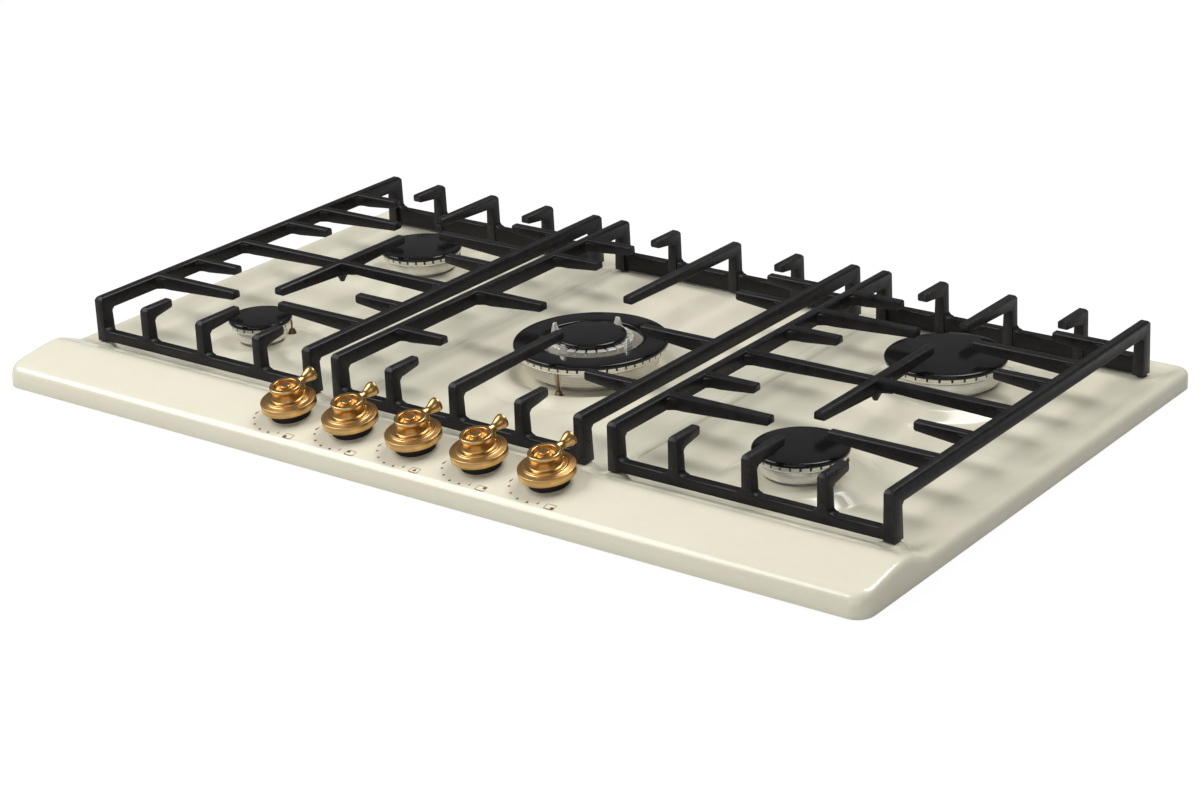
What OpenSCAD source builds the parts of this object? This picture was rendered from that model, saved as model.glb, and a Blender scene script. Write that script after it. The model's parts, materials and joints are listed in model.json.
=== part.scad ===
// Built-in gas cooktop with five burners, three cast pan supports and five push-and-turn knobs.
// Millimetres. The origin is the centre of the worktop cut-out on the worktop's surface.
// +X runs to the user's right, +Y to the back and +Z up.

/* [Overall] */
// Width of the pressed top
hob_w = 860; // [800:5:900]
// Depth of the pressed top
hob_d = 510; // [500:2:530]
// Outer corner radius of the top
corner_r = 14; // [11:1:20]
// Thickness of the enamelled steel sheet
sheet_t = 1; // [0.8:0.1:1.4]

/* [Pressed top] */
// Height of the side and back rim above the worktop
rim_h = 15; // [14:0.5:17]
// Height of the basin floor above the worktop
floor_h = 11; // [10:0.5:12]
// Height of the front lip, where the control panel starts
lip_h = 18.5; // [17:0.5:20]
// Slope of the control panel in degrees
panel_slope = 9; // [6:0.5:10]
// Distance from the front edge to the top of the panel
peak_in = 53; // [50:1:56]
// Distance from the front edge to the foot of the panel's back slope
heel_in = 104; // [98:1:108]
// Radius of the rolled front edge
front_roll = 9; // [7:0.5:10]
// Radius of the rolled side and back edges
side_roll = 5; // [4:0.5:6]
// Distance from the side edge to the foot of the side cove
side_cove_in = 26; // [22:0.5:26]
// Distance from the back edge to the foot of the back cove
back_cove_in = 17; // [14:0.5:18]
// Width of the folded flange under the rim
fold_w = 26; // [25:0.5:28]
// Height of the pressed bosses that carry the burners
boss_h = 8.5; // [7:0.5:9]
// Flank of a pressed boss, measured outwards
boss_flank = 18; // [14:1:20]
// Flat ring of a boss around its burner
boss_land = 14; // [13:1:15]
// Height of the long beads pressed between the burner zones
bead_h = 1.6; // [1:0.1:2]
// Thickness of the seal between the rim and the worktop
seal_t = 2; // [1.5:0.25:2.5]
// Width of the seal
seal_w = 10; // [8:0.5:11]

/* [Burners] */
// Distance of the outer burners from the centre line, as a share of the width
side_share = 0.3221; // [0.316:0.001:0.327]
// Place of the front burners, as a share of the depth
front_share = -0.1882; // [-0.192:0.001:-0.182]
// Place of the rear burners, as a share of the depth
rear_share = 0.2333; // [0.228:0.001:0.238]
// Place of the triple-crown burner, as a share of the depth
wok_share = 0.021; // [0.018:0.001:0.024]
// Cap diameter of the auxiliary burner
small_cap_d = 55; // [52:1:58]
// Cap diameter of the two semi-rapid burners
medium_cap_d = 75; // [72:1:76]
// Cap diameter of the rapid burner
large_cap_d = 100; // [96:1:102]
// Outer diameter of the ring cap of the triple-crown burner
wok_cap_d = 131; // [128:1:134]
// Width of that ring cap
wok_ring_w = 22; // [21:0.5:23]
// Thickness of the burner caps
cap_t = 4.2; // [3.5:0.1:4.5]
// How far a cap stands out over the plain skirt of its crown
body_in = 5.5; // [5:0.25:6]
// How far a cap stands out over the slotted band of its crown
band_in = 2; // [1.5:0.25:2.5]
// Height of the plain skirt of a crown
skirt_h = 10.5; // [9:0.5:12]
// Height of the slotted band
band_h = 4; // [3.5:0.25:4.5]
// Width of a flame slot
slot_w = 1.6; // [1.2:0.1:2]
// Depth of a flame slot
slot_h = 3; // [2:0.25:3.25]
// Dark gap between the crown and the pressed boss
crown_gap = 3; // [2.5:0.25:3.5]
// Wall of the die-cast crowns and cups
cast_t = 3; // [2.5:0.25:3.5]

/* [Pan supports] */
// Height of the support surface above the worktop
grate_top = 59; // [56:1:62]
// Width of a support bar
bar_w = 8.5; // [7:0.5:9]
// Height of a support bar
bar_h = 12; // [10:0.5:13]
// Depth of a leg from front to back
leg_d = 12; // [10:0.5:13]
// Height of the top of the long rails
rail_top = 29; // [28:0.5:31]
// Underside of the front rails
front_rail_low = 20; // [19:0.5:21]
// Underside of the rear rails
rear_rail_low = 13.5; // [13:0.25:14.5]
// Depth of a rail
rail_d = 9; // [8:0.5:10]
// Distance from the front edge of the top to the supports
grate_front_in = 85; // [83:1:86]
// Distance from the back edge of the top to the supports
grate_back_in = 25; // [24:1:27]
// Distance from the side edge to the centre of the outer bars
outer_bar_in = 32; // [32:0.5:34]
// Distance of the inner bars of the side supports from the centre line, as a share of the width
inner_bar_share = 0.1807; // [0.179:0.0005:0.183]
// Distance of the bars of the middle support from the centre line, as a share of the width
middle_bar_share = 0.1437; // [0.142:0.0005:0.145]

/* [Knobs] */
// Spacing of the knobs
knob_pitch = 65.5; // [62:0.5:68]
// Distance of the knob axes from the front edge
knob_in = 38; // [36:0.5:39]
// Diameter of the knob flange
knob_d = 47; // [44:0.5:48]
// Diameter of the knob drum
drum_d = 28; // [26:0.5:30]
// Height of the knob above the panel
knob_h = 27; // [25:0.5:30]
// Travel of the push, which sets the gap under the flange
push_travel = 3.5; // [3:0.1:3.5]
// Direction of the lever at rest, in degrees from straight back
lever_turn = -10; // [-15:1:0]
// Distance of the lever's end from the knob axis
lever_reach = 31; // [29:0.5:33]
// Diameter of the spindle
spindle_d = 6; // [5:0.5:7]

/* [Under the worktop] */
// Depth of the steel box below the worktop
box_depth = 45; // [44:1:50]
// Distance from the edge of the top to the walls of the box
box_in = 27; // [27:0.5:29]
// Distance from the edge of the top to the edge of the box flange
box_flange_in = 19; // [18.5:0.25:20]
// Sheet of the box
box_t = 1; // [0.8:0.1:1.2]
// Diameter of the gas rail
rail_tube_d = 14; // [12:0.5:15]
// Diameter of the burner pipes
pipe_d = 8; // [6:0.5:8]
// Height of the burner pipes
pipe_z = -27; // [-28:0.5:-26]
// Diameter of the thread of the gas inlet
inlet_d = 21; // [20:0.5:21.5]

/* [Hidden] */
$fn = 48;

// Shared clearances and overruns.
over = 2;            // how far a cut runs past the surface it opens
slide_gap = 0.05;    // radial clearance of a shaft in its bore
seat_gap = 0.3;      // gap between pieces of different bodies at rest
hole_gap = 0.6;      // clearance around a casting in a sheet
screw_gap = 0.15;    // radial clearance of a screw in a plain hole

// Numbers of the burners: left front, left rear, triple crown, right rear, right front.
burners = [0, 1, 2, 3, 4];
WOK = 2;
side_x = hob_w * side_share;
front_y = hob_d * front_share;
rear_y = hob_d * rear_share;
wok_y = hob_d * wok_share;
burner_xy = [[-side_x, front_y], [-side_x, rear_y], [0, wok_y], [side_x, rear_y], [side_x, front_y]];
cap_rs = [small_cap_d / 2, medium_cap_d / 2, wok_cap_d / 2, large_cap_d / 2, medium_cap_d / 2];
slot_counts = [20, 28, 48, 30, 28];
rapid_extra = 1.5;   // the rapid burner stands this much taller
extra_hs = [0, 0, 0, rapid_extra, 0];

function body_r(i) = cap_rs[i] - body_in;
function band_r(i) = cap_rs[i] - band_in;
function cup_r(i) = i == WOK ? wok_foot_r - cast_t : body_r(i) - crown_step;
function crown_h(i) = skirt_h + band_h + extra_hs[i];
function at_burner(i) = [burner_xy[i][0], burner_xy[i][1], 0];

crown_step = 3.5;                        // the crown's skirt stands out over its cup by this much
seat_z = floor_h + boss_h;               // top of a pressed boss
crown_z = seat_z + crown_gap;            // underside of the plain crowns
cup_low = -20;                           // underside of the cups
holder_r = 9;                            // the injector holder stands on the box floor
dimple_h = 2.5;                          // dimples in that floor hide the screw heads
dimple_r = 9.5;
holder_low = -box_depth + dimple_h + box_t;
injector_low = pipe_z - 4;
throat_r = 7;                            // mixing tube of a crown
throat_l = 12;
injector_r = 4;
ear_z = 2;                               // ears that hold the plug and the sensor
ear_t = 3;
ear_w = 9;
ear_out = 9.5;                           // reach of an ear beyond the crown's skirt
rod_out = 5.5;                           // place of plug and sensor beyond the crown's skirt
gasket_t = 1.2;
gasket_w = 5;

// Angles of the spark plug and of the flame sensor around each burner.
plug_turns = [128, 128, 150, 128, 128];
sensor_turns = [62, 62, -82, 62, 62];

// Triple-crown burner.
wok_foot_in = 18.5;                      // its foot stands this far inside its cap
wok_foot_r = wok_cap_d / 2 - wok_foot_in;
wok_belly_in = 9;
wok_dish_land = 14;                      // the dish, the ring around it and that ring's foot,
wok_ring_out = 23;                       // measured outwards from the crown's foot
wok_boss_out = 45;
wok_dish_z = floor_h - 3;                // the tray is dished under this burner
wok_z = wok_dish_z + crown_gap;
wok_belly_r = wok_cap_d / 2 - wok_belly_in; // widest plain part of its outer crown
wok_belly_low = 16;
wok_skirt_top = 30;
wok_band_top = 34;
wok_floor_r = wok_foot_r + wok_dish_land; // flat floor of the dish
wok_ring_r = wok_foot_r + wok_ring_out;  // crest of the pressed ring around the dish
wok_ring_top = floor_h + 3;
wok_boss_r = wok_foot_r + wok_boss_out;  // foot of that ring
wok_eye_r = wok_cap_d / 2 - wok_ring_w;  // opening in the ring cap
wok_moat = 7.5;                          // free ring between the two crowns
wok_inner_r = wok_eye_r - wok_moat;      // slotted band of the inner crown
wok_inner_step = 5.75;                   // the inner cap is this much smaller than its crown
wok_inner_low = 24;
wok_inner_top = 39;
wok_inner_slots = 24;
wok_lug_turns = [0, 90, 180, 270];
wok_rod_step = 1;
wok_rod_out = wok_belly_r + wok_rod_step; // distance of plug and sensor from this burner's axis
wok_groove_r = 3.4;                      // grooves in the outer crown in which they stand
lug_w = 9.5;
lug_t = 5;
lug_h = 6;
lug_out = 2;                             // a lug's middle stands this far outside its crown's band

// Pressed top: the height of its upper skin at any place.
panel_rise = tan(panel_slope);
peak_h = lip_h + (peak_in - front_roll) * panel_rise;
function ease(t) = let (u = min(max(t, 0), 1)) u * u * (3 - 2 * u);
function panel_z(y) = let (f = y + hob_d / 2)
    f < peak_in ? lip_h + (f - front_roll) * panel_rise
                : floor_h + (peak_h - floor_h) * (1 - ease((f - peak_in) / (heel_in - peak_in)));
function cove(d, foot) = 1 - ease((d - side_roll) / (foot - side_roll));
function rim_z(x, y) = floor_h + (rim_h - floor_h)
    * max(cove(hob_w / 2 - abs(x), side_cove_in), cove(hob_d / 2 - y, back_cove_in));
function top_z(x, y) = max(panel_z(y), rim_z(x, y));

// The roll radius changes from the front edge to the sides over this distance.
roll_blend = 24;
function roll_at(y) = side_roll + (front_roll - side_roll) * (1 - ease((y + hob_d / 2) / roll_blend));

// One ring of points round the top, inset from the sides, the front and the back.
corner_steps = 5;
side_shares = [0.02, 0.05, 0.08, 0.11, 0.14, 0.17, 0.2, 0.24, 0.3];
function arc_pts(c, r, a0) = [for (k = [0:corner_steps]) let (a = a0 + 90 * k / corner_steps)
    c + r * [cos(a), sin(a)]];
function ring_xy(s, f, b, r) = let (
    x = hob_w / 2 - s - r, y0 = -hob_d / 2 + f + r, y1 = hob_d / 2 - b - r)
    concat(arc_pts([x, y0], r, -90), [for (t = side_shares) [x + r, y0 + (y1 - y0) * t]],
           arc_pts([x, y1], r, 0), arc_pts([-x, y1], r, 90),
           [for (k = [len(side_shares) - 1:-1:0]) [-x - r, y0 + (y1 - y0) * side_shares[k]]],
           arc_pts([-x, y0], r, 180));
function flat_ring(inset, z) = [for (p = ring_xy(inset, inset, inset, max(corner_r - inset, sheet_t)))
    [p[0], p[1], z]];

// Rings of the rolled edge. skin is 0 for the upper skin and the sheet's thickness for the lower one.
roll_turns = [0, 22.5, 45, 67.5, 90];
function roll_ring(turn, skin) = let (
    s = skin + (side_roll - skin) * (1 - cos(turn)),
    f = skin + (front_roll - skin) * (1 - cos(turn)),
    pts = ring_xy(s, f, s, max(corner_r - s, sheet_t)))
    [for (p = pts) let (r = roll_at(p[1]))
        [p[0], p[1], top_z(p[0], p[1]) - skin - (r - skin) * (1 - sin(turn))]];

// Rings from the edge to the basin floor, placed by shares of the cove and of the panel.
cove_shares = [0.12, 0.25, 0.4, 0.55, 0.7, 0.85, 1];
slope_shares = [0.15, 0.3, 0.45, 0.6, 0.8, 1];
panel_ins = concat([(front_roll + peak_in) / 2, peak_in],
    [for (t = slope_shares) peak_in + (heel_in - peak_in) * t]);
inner_shares = concat([0], cove_shares);
function basin_ring(k, skin) = let (
    s = side_roll + (side_cove_in - side_roll) * inner_shares[k],
    b = side_roll + (back_cove_in - side_roll) * inner_shares[k],
    pts = ring_xy(s + (k == 0 ? sheet_t : 0), panel_ins[k], b + (k == 0 ? sheet_t : 0), corner_r))
    [for (p = pts) [p[0], p[1], top_z(p[0], p[1]) - skin]];

// A closed skin through rings that all hold the same number of points.
module loft(rings) {
    n = len(rings[0]);
    m = len(rings);
    pts = [for (r = rings) each r];
    polyhedron(pts, concat(
        [[for (k = [0:n - 1]) k]],
        [for (j = [0:m - 2]) each [for (k = [0:n - 1])
            let (q = (k + 1) % n, a = j * n + k, b = j * n + q, c = a + n, d = b + n)
            each [[a, d, b], [a, c, d]]]],
        [[for (k = [n - 1:-1:0]) (m - 1) * n + k]]), convexity = 6);
}

// The fold stands above the seal and hides behind the skirt.
fold_low = seal_t;
fold_top = seal_t + sheet_t;
basin_count = len(inner_shares);
function skin_rings(skin) = concat([for (a = roll_turns) roll_ring(a, skin)],
    [for (k = [0:basin_count - 1]) basin_ring(k, skin)]);
function reversed(v) = [for (k = [len(v) - 1:-1:0]) v[k]];
tray_rings = concat(
    reversed(skin_rings(sheet_t)),
    [flat_ring(sheet_t, fold_top), flat_ring(fold_w, fold_top), flat_ring(fold_w, fold_low),
     flat_ring(sheet_t, fold_low), flat_ring(sheet_t, 0), flat_ring(0, 0)],
    skin_rings(0));

// Feet of the supports and the seats that they need on the back slope of the panel.
grate_front = -hob_d / 2 + grate_front_in;
grate_back = hob_d / 2 - grate_back_in;
outer_bar_x = hob_w / 2 - outer_bar_in;
inner_bar_x = hob_w * inner_bar_share;
middle_bar_x = hob_w * middle_bar_share;
foot_r = 4;
foot_pin_r = 2;
foot_pin_h = 4;
foot_seat_r = 6;
leg_drop = 1.4;                          // the front legs reach this far below their rail
leg_low = front_rail_low - leg_drop;
foot_seat_z = front_rail_low - 2.4;      // pads pressed into the slope under the front feet
foot_in = 5;                             // feet stand this far inside the front and back faces
foot_front_y = grate_front + foot_in;
foot_back_y = grate_back - foot_in;
foot_xs = [-outer_bar_x, -inner_bar_x, -middle_bar_x, middle_bar_x, inner_bar_x, outer_bar_x];
front_seat_low = floor_h - sheet_t;

// Long beads between the zones.
bead_x = (inner_bar_x + middle_bar_x) / 2;
bead_w = 16;
bead_flat = 10;
bead_front = -hob_d / 2 + heel_in + bead_w;
bead_back = hob_d / 2 - back_cove_in - bead_w;

// Knobs and taps stand square to the panel.
knob_y = -hob_d / 2 + knob_in;
knob_z = panel_z(knob_y);
function knob_x(i) = (i - WOK) * knob_pitch;
seal_hole_r = 5.5;
module at_knob(i) translate([knob_x(i), knob_y, knob_z]) rotate([panel_slope, 0, 0]) children();

module boss_profile(foot_r, land_r, hole_r, low, top) {
    // Pressed sheet from the basin floor up the flank to the edge of the burner hole.
    polygon([[hole_r, top - sheet_t], [land_r, top - sheet_t], [foot_r, low - sheet_t],
             [foot_r + sheet_t, low - sheet_t], [foot_r + sheet_t, low], [foot_r, low],
             [land_r, top], [hole_r, top]]);
}

function land_r(i) = i == WOK ? wok_ring_r : body_r(i) + boss_land;
function foot_r_of(i) = i == WOK ? wok_boss_r : land_r(i) + boss_flank;
function hole_r(i) = cup_r(i) + hole_gap;

module wok_boss_profile() {
    // A raised ring that falls again to the dish in which the triple-crown burner stands.
    polygon([[hole_r(WOK), wok_dish_z - sheet_t], [wok_floor_r, wok_dish_z - sheet_t],
             [wok_ring_r - sheet_t, wok_ring_top - sheet_t], [wok_ring_r + sheet_t, wok_ring_top - sheet_t],
             [wok_boss_r, floor_h - sheet_t], [wok_boss_r + sheet_t, floor_h - sheet_t],
             [wok_boss_r + sheet_t, floor_h], [wok_boss_r, floor_h],
             [wok_ring_r + sheet_t, wok_ring_top], [wok_ring_r - sheet_t, wok_ring_top],
             [wok_floor_r, wok_dish_z], [hole_r(WOK), wok_dish_z]]);
}

module bead(w, flat, h, base, len) {
    rotate([90, 0, 0]) linear_extrude(len, center = true)
        polygon([[-w / 2, base], [w / 2, base], [w / 2, 0], [flat / 2, h], [-flat / 2, h], [-w / 2, 0]]);
}

module top_tray() {
    color("#e6e3d2") difference() {
        union() {
            difference() {
                loft(tray_rings);
                for (i = burners)
                    translate(at_burner(i)) cylinder(h = rim_h + over, r = foot_r_of(i), $fn = 96);
            }
            for (i = burners) translate(at_burner(i)) rotate_extrude($fn = 96) {
                if (i == WOK) wok_boss_profile();
                else boss_profile(foot_r_of(i), land_r(i), hole_r(i), floor_h, seat_z);
            }
            for (x = foot_xs) translate([x, foot_front_y, front_seat_low])
                cylinder(h = foot_seat_z - front_seat_low, r = foot_seat_r);
            for (s = [-1, 1]) translate([s * bead_x, (bead_front + bead_back) / 2, floor_h])
                bead(bead_w, bead_flat, bead_h, -sheet_t / 2, bead_back - bead_front);
        }
        for (i = burners) at_knob(i)
            translate([0, 0, -over * 2]) cylinder(h = over * 4, r = seal_hole_r);
        for (i = burners) for (a = [plug_turns[i], sensor_turns[i]])
            translate(at_burner(i)) rotate([0, 0, a]) translate([rod_at(i), 0, 0])
                cylinder(h = seat_z + over, r = rod_hole_r);
        for (p = fold_screws) translate([p[0], p[1], fold_low - over])
            cylinder(h = over * 2, r = box_screw_r);
    }
}

rod_hole_r = 3;
function rod_at(i) = i == WOK ? wok_rod_out : body_r(i) + rod_out;

// Screws that hold the box flange to the fold of the top.
box_screw_r = 2;
box_screw_in = (box_flange_in + fold_w) / 2;
box_screw_l = 7;
fold_x_shares = [-0.8, -0.3, 0.3, 0.8];
fold_y_shares = [-0.6, 0.6];
fold_screws = concat(
    [for (t = fold_x_shares) for (s = [-1, 1]) [t * hob_w / 2, s * (hob_d / 2 - box_screw_in)]],
    [for (t = fold_y_shares) for (s = [-1, 1]) [s * (hob_w / 2 - box_screw_in), t * hob_d / 2]]);

module rounded_plate(w, d, r, h) {
    linear_extrude(h) union() {
        square([w - 2 * r, d], center = true);
        square([w, d - 2 * r], center = true);
        for (x = [-1, 1]) for (y = [-1, 1]) translate([x * (w / 2 - r), y * (d / 2 - r)]) circle(r = r);
    }
}

module frame_plate(in_a, in_b, r, h) {
    difference() {
        rounded_plate(hob_w - 2 * in_a, hob_d - 2 * in_a, r, h);
        translate([0, 0, -over])
            rounded_plate(hob_w - 2 * in_b, hob_d - 2 * in_b, max(r - in_b + in_a, sheet_t), h + 2 * over);
    }
}

seal_in = sheet_t + slide_gap;
module rim_seal() {
    color("#3a3a3a") frame_plate(seal_in, seal_in + seal_w, corner_r - seal_in, seal_t);
}

// Steel box below the worktop, with a raised corner for the gas inlet and the cable gland.
box_w = hob_w - 2 * box_in;
box_d = hob_d - 2 * box_in;
box_r = 12;
box_low = -box_depth;
box_flange_z = fold_low - box_t;
corner_in_x = 110;                       // the raised corner starts this far from the edges of the top
corner_in_y = 95;
corner_x = hob_w / 2 - corner_in_x;
corner_y = hob_d / 2 - corner_in_y;
corner_z = box_low + 23;
vent_l = 34;
vent_w = 4;
vent_x_shares = [-0.22, -0.163, -0.105, 0.105, 0.163, 0.22];
vent_y_shares = [-0.08, -0.04, 0.294, 0.333];
vent_xs = [for (t = vent_x_shares) t * hob_w];
vent_rows = [for (t = vent_y_shares) t * hob_d];

module corner_block(grow) {
    translate([corner_x - grow, corner_y - grow, box_low - over])
        cube([box_w, box_d, corner_z - box_low + over + grow]);
}

module under_box() {
    color("#b9bcc0") difference() {
        union() {
            difference() {
                translate([0, 0, box_low])
                    rounded_plate(box_w, box_d, box_r, box_flange_z + box_t - box_low);
                corner_block(0);
            }
            translate([0, 0, box_flange_z]) frame_plate(box_flange_in, box_in + box_t, box_r, box_t);
        }
        difference() {
            translate([0, 0, box_low + box_t])
                rounded_plate(box_w - 2 * box_t, box_d - 2 * box_t, box_r - box_t, box_depth + over * 2);
            corner_block(box_t);
            for (i = burners) translate(at_burner(i)) translate([0, 0, box_low])
                cylinder(h = dimple_h + box_t, r = dimple_r + box_t);
        }
        for (x = vent_xs) for (y = vent_rows)
            translate([x - vent_l / 2, y - vent_w / 2, box_low - over]) cube([vent_l, vent_w, over * 2]);
        for (i = burners) translate(at_burner(i)) translate([0, 0, box_low - over]) {
            cylinder(h = over + dimple_h, r = dimple_r);
            cylinder(h = over * 2 + dimple_h, r = burner_screw_r + screw_gap);
        }
        translate([inlet_x, inlet_y, corner_z - over]) cylinder(h = over * 2, r = inlet_d / 2 + screw_gap);
        translate([corner_x - over, gland_y, gland_z]) rotate([0, 90, 0])
            cylinder(h = over * 2, r = gland_neck_r + screw_gap);
        for (p = fold_screws) translate([p[0], p[1], box_flange_z - over])
            cylinder(h = over * 2, r = box_screw_r + screw_gap);
        for (p = clamp_places) translate([p[0], p[1] * (box_d / 2 + over), clamp_screw_z])
            rotate([p[1] * 90, 0, 0]) cylinder(h = over * 2, r = clamp_screw_r + screw_gap);
        for (x = bracket_xs) translate([x, rail_y, box_low - over])
            cylinder(h = over * 2, r = bracket_pin_r + screw_gap);
    }
}

// Cast pan supports. A bar is its side outline cut by its cross-section with chamfered top edges.
bar_chamfer = 1.3;
draft = 0.7;                             // a casting is this much wider at its foot
module section(w, low) {
    polygon([[-w / 2 - draft, low], [w / 2 + draft, low], [w / 2, grate_top - bar_chamfer],
             [w / 2 - bar_chamfer, grate_top], [-w / 2 + bar_chamfer, grate_top],
             [-w / 2, grate_top - bar_chamfer]]);
}

// A bar that runs along Y: the outline is drawn as [y, z].
module y_bar(x, w, low, outline) {
    span = [min([for (p = outline) p[0]]), max([for (p = outline) p[0]])];
    intersection() {
        translate([x, span[1], 0]) rotate([90, 0, 0]) linear_extrude(span[1] - span[0]) section(w, low);
        translate([x - w, 0, 0]) rotate([90, 0, 90]) linear_extrude(2 * w) polygon(outline);
    }
}

// A finger that points along +X from the middle of its bar, tapering towards a rounded tip.
tip_h = 7.5;
tip_round = 1.4;
root_flare = 9;
module finger(reach, root_h, w) {
    low = grate_top - root_h;
    intersection() {
        rotate([90, 0, 90]) linear_extrude(reach) section(w, low);
        translate([0, w, 0]) rotate([90, 0, 0]) linear_extrude(2 * w)
            polygon([[0, low], [root_flare + bar_w, low], [reach - tip_round, grate_top - tip_h],
                     [reach, grate_top - tip_h + tip_round], [reach, grate_top - tip_round / 2],
                     [reach - tip_round / 2, grate_top], [0, grate_top]]);
    }
    // Cast fillets at the root.
    translate([0, 0, low]) linear_extrude(root_h - 2 * bar_chamfer)
        polygon([[0, -w / 2 - root_flare], [bar_w / 2, -w / 2 - root_flare / 2],
                 [bar_w / 2 + root_flare / 2, -w / 2 - root_flare / 6], [bar_w / 2 + root_flare, -w / 2],
                 [bar_w / 2 + root_flare, w / 2], [bar_w / 2 + root_flare / 2, w / 2 + root_flare / 6],
                 [bar_w / 2, w / 2 + root_flare / 2], [0, w / 2 + root_flare]]);
}

// A side frame: front leg, long bar and rear leg in one outline.
bend = 6;                                // chamfered outer bend at the top of a leg
inner_bend = 2.4;
leg_spread = 0.8;                        // a leg grows this much towards its rail
module side_frame(x) {
    under = grate_top - bar_h;
    y_bar(x, bar_w, rear_rail_low, [
        [grate_front, leg_low], [grate_front + leg_d + leg_spread, leg_low],
        [grate_front + leg_d, under - inner_bend], [grate_front + leg_d + inner_bend, under],
        [grate_back - leg_d - inner_bend, under], [grate_back - leg_d, under - inner_bend],
        [grate_back - leg_d - leg_spread, rear_rail_low], [grate_back, rear_rail_low],
        [grate_back, grate_top - bend / 2], [grate_back - bend / 2, grate_top],
        [grate_front + bend / 2, grate_top], [grate_front, grate_top - bend / 2]]);
}

// A hollow fillet in the corner between a rail and an upright, on the side that s names.
web_r = 5;
web_in = 1.5;
web_turns = [0, 30, 60, 90];
module web(x, s, back) {
    y0 = back ? grate_back - rail_d : grate_front;
    translate([x, y0 + rail_d, rail_top]) rotate([90, 0, 0]) linear_extrude(rail_d)
        polygon(concat([[-s * web_in, web_r + draft], [-s * web_in, -bar_chamfer - web_in]],
            [[s * web_r, -bar_chamfer - web_in]],
            [for (a = web_turns) [s * web_r * (1 - sin(a)), web_r * (1 - cos(a))]]));
}

// An upright that rises from a rail and bends over into a finger along Y.
hook_w = 8;
hook_leg = 9.5;
hook_h = 10.5;
module hook(x, tip_y, back) {
    face = back ? grate_back : grate_front;
    s = back ? -1 : 1;
    low = back ? rear_rail_low : front_rail_low;
    under = grate_top - hook_h;
    y_bar(x, hook_w, low, [
        [face, low], [face + s * (hook_leg + leg_spread), low],
        [face + s * hook_leg, under - inner_bend], [face + s * (hook_leg + inner_bend), under],
        [tip_y - s * tip_round, grate_top - tip_h], [tip_y, grate_top - tip_h + tip_round],
        [tip_y, grate_top - tip_round / 2], [tip_y - s * tip_round / 2, grate_top],
        [face + s * bend / 2, grate_top], [face, grate_top - bend / 2]]);
    for (side = [-1, 1]) web(x + side * hook_w / 2, side, back);
}

module rail(x0, x1, back) {
    low = back ? rear_rail_low : front_rail_low;
    y0 = back ? grate_back - rail_d : grate_front;
    translate([x0, 0, 0]) rotate([90, 0, 90]) linear_extrude(x1 - x0)
        polygon([[y0, low], [y0 + rail_d, low], [y0 + rail_d, rail_top - bar_chamfer],
                 [y0 + rail_d - bar_chamfer, rail_top], [y0 + bar_chamfer, rail_top],
                 [y0, rail_top - bar_chamfer]]);
}

// Both rails of a support, with a fillet against each side frame.
module rails(xs) {
    for (back = [false, true]) {
        rail(min(xs), max(xs), back);
        web(min(xs) + bar_w / 2, 1, back);
        web(max(xs) - bar_w / 2, -1, back);
    }
}

module foot_holes(xs) {
    for (x = xs) {
        translate([x, foot_front_y, leg_low - over]) cylinder(h = foot_pin_h + over, r = foot_pin_r);
        translate([x, foot_back_y, rear_rail_low - over]) cylinder(h = foot_pin_h + over, r = foot_pin_r);
    }
}

// Places of the fingers on which a pan rests.
hook_step = 65.5;                        // the outer uprights stand this far from the middle one
cross_y = wok_y;                         // the full cross-bar of a side support
long_ys = [front_y, rear_y];             // long fingers point at the burners
short_y_shares = [-0.0922, 0.1431, 0.3314];
short_ys = [for (t = short_y_shares) t * hob_d];
long_gap = 26;                           // the long fingers end this far from the burner's axis
short_reach = 50.5;
front_tips = [31, 46.5];                 // reach of the outer and of the middle front hooks
rear_tips = [38.5, 83.5];
spine_reach = 82.2;                      // short bar along Y through the cross-bar
spine_front = cross_y - spine_reach;
spine_back = cross_y + spine_reach;
stud_r = 6;
stud_h = 8;
cross_h = 11;
cross_flare = 16;

module side_grate(side) {
    mid = side * side_x;
    xs = [side * inner_bar_x, side * outer_bar_x];
    color("#262628") difference() {
        union() {
            for (x = xs) side_frame(x);
            rails(xs);
            for (k = [-1, 0, 1]) {
                hook(mid + k * hook_step, grate_front + front_tips[k == 0 ? 1 : 0], false);
                hook(mid + k * hook_step, grate_back - rear_tips[k == 0 ? 1 : 0], true);
            }
            for (x = xs) {
                turn = x < mid ? 0 : 180;
                for (y = long_ys) translate([x, y, 0]) rotate([0, 0, turn])
                    finger(abs(mid - x) - long_gap, bar_h, hook_w);
                for (y = short_ys) translate([x, y, 0]) rotate([0, 0, turn])
                    finger(short_reach, hook_h, hook_w);
                translate([x, cross_y, 0]) rotate([0, 0, turn])
                    finger(abs(mid - x) + tip_round, cross_h, hook_w);
            }
            translate([mid, cross_y, grate_top - cross_h]) linear_extrude(cross_h - 2 * bar_chamfer)
                polygon([[-cross_flare, 0], [-hook_w / 2, -hook_w / 2], [0, -cross_flare],
                         [hook_w / 2, -hook_w / 2], [cross_flare, 0], [hook_w / 2, hook_w / 2],
                         [0, cross_flare], [-hook_w / 2, hook_w / 2]]);
            y_bar(mid, hook_w, grate_top - cross_h, [
                [spine_front, grate_top - tip_h + tip_round], [spine_front + tip_round, grate_top - tip_h],
                [cross_y - cross_flare, grate_top - cross_h], [cross_y + cross_flare, grate_top - cross_h],
                [spine_back - tip_round, grate_top - tip_h], [spine_back, grate_top - tip_h + tip_round],
                [spine_back, grate_top - tip_round / 2], [spine_back - tip_round / 2, grate_top],
                [spine_front + tip_round / 2, grate_top], [spine_front, grate_top - tip_round / 2]]);
            translate([mid, cross_y, grate_top - cross_h - stud_h])
                cylinder(h = stud_h, r1 = stud_r / 3, r2 = stud_r);
        }
        foot_holes(xs);
    }
}

module left_grate() side_grate(-1);
module right_grate() side_grate(1);

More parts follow.
